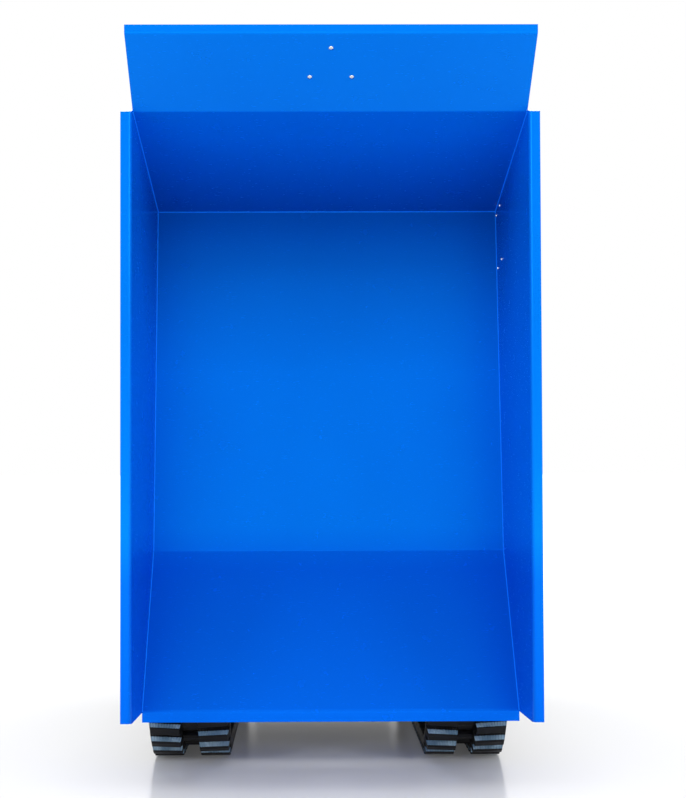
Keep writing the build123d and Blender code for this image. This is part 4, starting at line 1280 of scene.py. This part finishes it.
engineSettings = dict(
    # how far in from the engine's left, right and sides, and from what height to what height
    boxes=[(0.030, 0.050, 0.045, 0.014, 0.075), (0.022, 0.044, 0.028, 0.075, 0.185),
           (0.030, 0.052, 0.038, 0.185, 0.262), (0.030, 0.052, 0.030, 0.258, 0.285)],
    rockerCover=(0.045, 0.068, 0.062, 0.285), foot=(0.022, 0.040), footIn=(0.035, 0.060), ribs=9,
    rib=(0.040, 0.0315, 0.005, 0.020, 0.082, 0.178),
    bell=[(0, 0), (0.082, 0), (0.082, 0.012), (0.076, 0.014), (0.048, 0.021), (0, 0.022)], bellUp=0.020,
    timing=[(0, 0), (0.075, 0), (0.072, 0.012), (0.030, 0.014), (0, 0.014)], timingUp=0.010, bevel=0.003,
    # wheels in the belt's order: distance from the middle, height, radius, and the arc that the belt covers
    wheels=[(0, 0.470, 0.038, 170, 340), (0.070, 0.565, 0.024, -20, 60), (-0.005, 0.625, 0.028, 60, 170)],
    rim=[(0, 0), (0, 0.003), (-0.005, 0.008), (0, 0.013), (0, 0.016), (-0.006, 0.016)],
    hub=[(0.014, 0.012), (0.012, 0.016), (0, 0.016)], wheelsOut=0.010,
    belt=(0.018, 0.001, 0.0045), beltSteps=12,
    coverBolts=(3, 0.085, 0.090, 0.070, 0.006, 0.005), headBolts=(6, 0.050, 0.050, 0.030, 0.271, 0.006),
    oilFilter=[(0, 0), (0.030, 0), (0.036, 0.004), (0.036, 0.052), (0.030, 0.058), (0, 0.059)],
    filterAt=(0.050, 0.030, 0.125), filterWay=(0, 0.94, -0.34), cleanerAt=(-0.110, 0.034, 0.030),
    cleaner=[(0, 0), (0.040, 0), (0.044, 0.004), (0.044, 0.052), (0.047, 0.053), (0.047, 0.060),
             (0.044, 0.061), (0.044, 0.176), (0.038, 0.182), (0, 0.182)],
    muffler=[(0, 0), (0.036, 0), (0.042, 0.006), (0.042, 0.140), (0.036, 0.146), (0, 0.146)],
    mufflerAt=(0.040, -0.205, 0.020),
    # the tail pipe leaves the muffler's rear end for the outlet; the header joins its front end to the block
    tailBend=[(0, 0, 0.140), (-0.004, 0.010, 0.168)], tailEnds=(-0.018, 0.002), tailPipe=0.017,
    headerEnd=(0, 0, 0.030), headerBend=(0.095, -0.170, 0.060), headerStart=(0.034, 0.225), headerPipe=0.015,
)


def makeEngine(made=engineSettings):
    # a small water-cooled diesel: sump, ribbed block, head, rocker cover, pulleys and belt, filters, muffler
    low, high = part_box("engine_block")
    middleY = (low.y + high.y) / 2
    crankZ = made["wheels"][0][1]
    form = Form()
    half, tall = made["foot"]
    for x in (low.x + made["footIn"][0], high.x - made["footIn"][1]):
        for y in (low.y + half, high.y - half):
            form.block((x - half, y - half, low.z), (x + half, y + half, low.z + tall))
    for left, right, side, bottom, top in made["boxes"]:
        form.block((low.x + left, low.y + side, low.z + bottom), (high.x - right, high.y - side, low.z + top))
    left, right, side, bottom = made["rockerCover"]
    form.block((low.x + left, low.y + side, low.z + bottom), (high.x - right, high.y - side, high.z))
    start, step, thick, side, bottom, top = made["rib"]
    for k in range(made["ribs"]):
        x = low.x + start + k * step
        form.block((x, low.y + side, low.z + bottom), (x + thick, high.y - side, low.z + top))
    left, right = made["boxes"][1][:2]
    front = high.x - right
    place = frameOf((low.x + left, middleY, crankZ + made["bellUp"]), -across, upward)
    form.turned(made["bell"], place, 48)
    place = frameOf((front, middleY, crankZ + made["timingUp"]), across, upward)
    form.turned(made["timing"], place, 48)
    form.soften(made["bevel"], segments=3)
    form.keep("engineCasting", "dark_steel", replaced=["engine_block"])
    steel = Form()
    belt = []
    beltX, beltOut, beltThick = made["belt"]
    steps = made["beltSteps"]
    for y, z, radius, start, end in made["wheels"]:
        place = frameOf((front + made["wheelsOut"], middleY + y, z), across, upward)
        steel.turned([(0, 0)] + grown(radius, made["rim"]) + made["hub"], place, 40)
        out = radius + beltOut
        for k in range(steps + 1):
            a = radians(start + (end - start) * k / steps)
            belt.append((front + beltX, middleY + y + out * cos(a), z + out * sin(a)))
    count, start, step, side, down, size = made["coverBolts"]
    for k in range(count):
        for y in (low.y + side, high.y - side):
            steel.hexBolt(Matrix.Translation((low.x + start + k * step, y, high.z - down)), size)
    count, start, step, side, rise, size = made["headBolts"]
    for k in range(count):
        for y, out in ((low.y + side, -rearward), (high.y - side, rearward)):
            steel.hexBolt(frameOf((low.x + start + k * step, y, low.z + rise), out, upward), size)
    steel.keep("enginePulleys", "bright_steel")
    dark = Form()
    dark.tube(belt, beltThick, 8, closed=True)
    x, side, rise = made["filterAt"]
    place = frameOf((x, high.y - side, low.z + rise), made["filterWay"], across)
    dark.turned(made["oilFilter"], place, 40)
    x, side, down = made["cleanerAt"]
    dark.turned(made["cleaner"], frameOf((x, low.y + side, high.z - down), across, upward), 48)
    dark.keep("engineFilters", "black_plastic")
    exhaust = middle("exhaust")
    start = Vector((exhaust.x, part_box("exhaust")[0].y, exhaust.z))
    body = frameOf(start + Vector(made["mufflerAt"]), rearward, upward)
    pipe = Form()
    pipe.turned(made["muffler"], body, 48)
    tail = [body @ Vector(spot) for spot in made["tailBend"]]
    tail += [start + out * rearward for out in made["tailEnds"]]
    pipe.tube(tail, made["tailPipe"], 24)
    side, rise = made["headerStart"]
    header = [body @ Vector(made["headerEnd"]), start + Vector(made["headerBend"]),
              (low.x + side, middleY, low.z + rise)]
    pipe.tube(header, made["headerPipe"], 24)
    pipe.keep("engineMuffler", "dark_steel")


placeCamera()
lightStudio()
makeFloor()
dressNodes()
for side in sides:
    makeTrack(side)
    makeRunningGearDetail(side)
print("tracks made")
makeFrameWelds()
makeHingeKeepers()
makeRearPanelDetail()
makeStepTread()
print("chassis dressed")
makeSkipWelds()
makeSkipBolts()
makeRamDetail()
print("skip dressed")
makeRearGrille()
makeHoodFixings()
for side in sides:
    makeDoorDetail(side)
makeFillerCaps()
makeExhaustDetail()
makeEngine()
print("hood dressed")
makeDesk()
makeLevers()
makeRailFeet()
print("desk dressed")
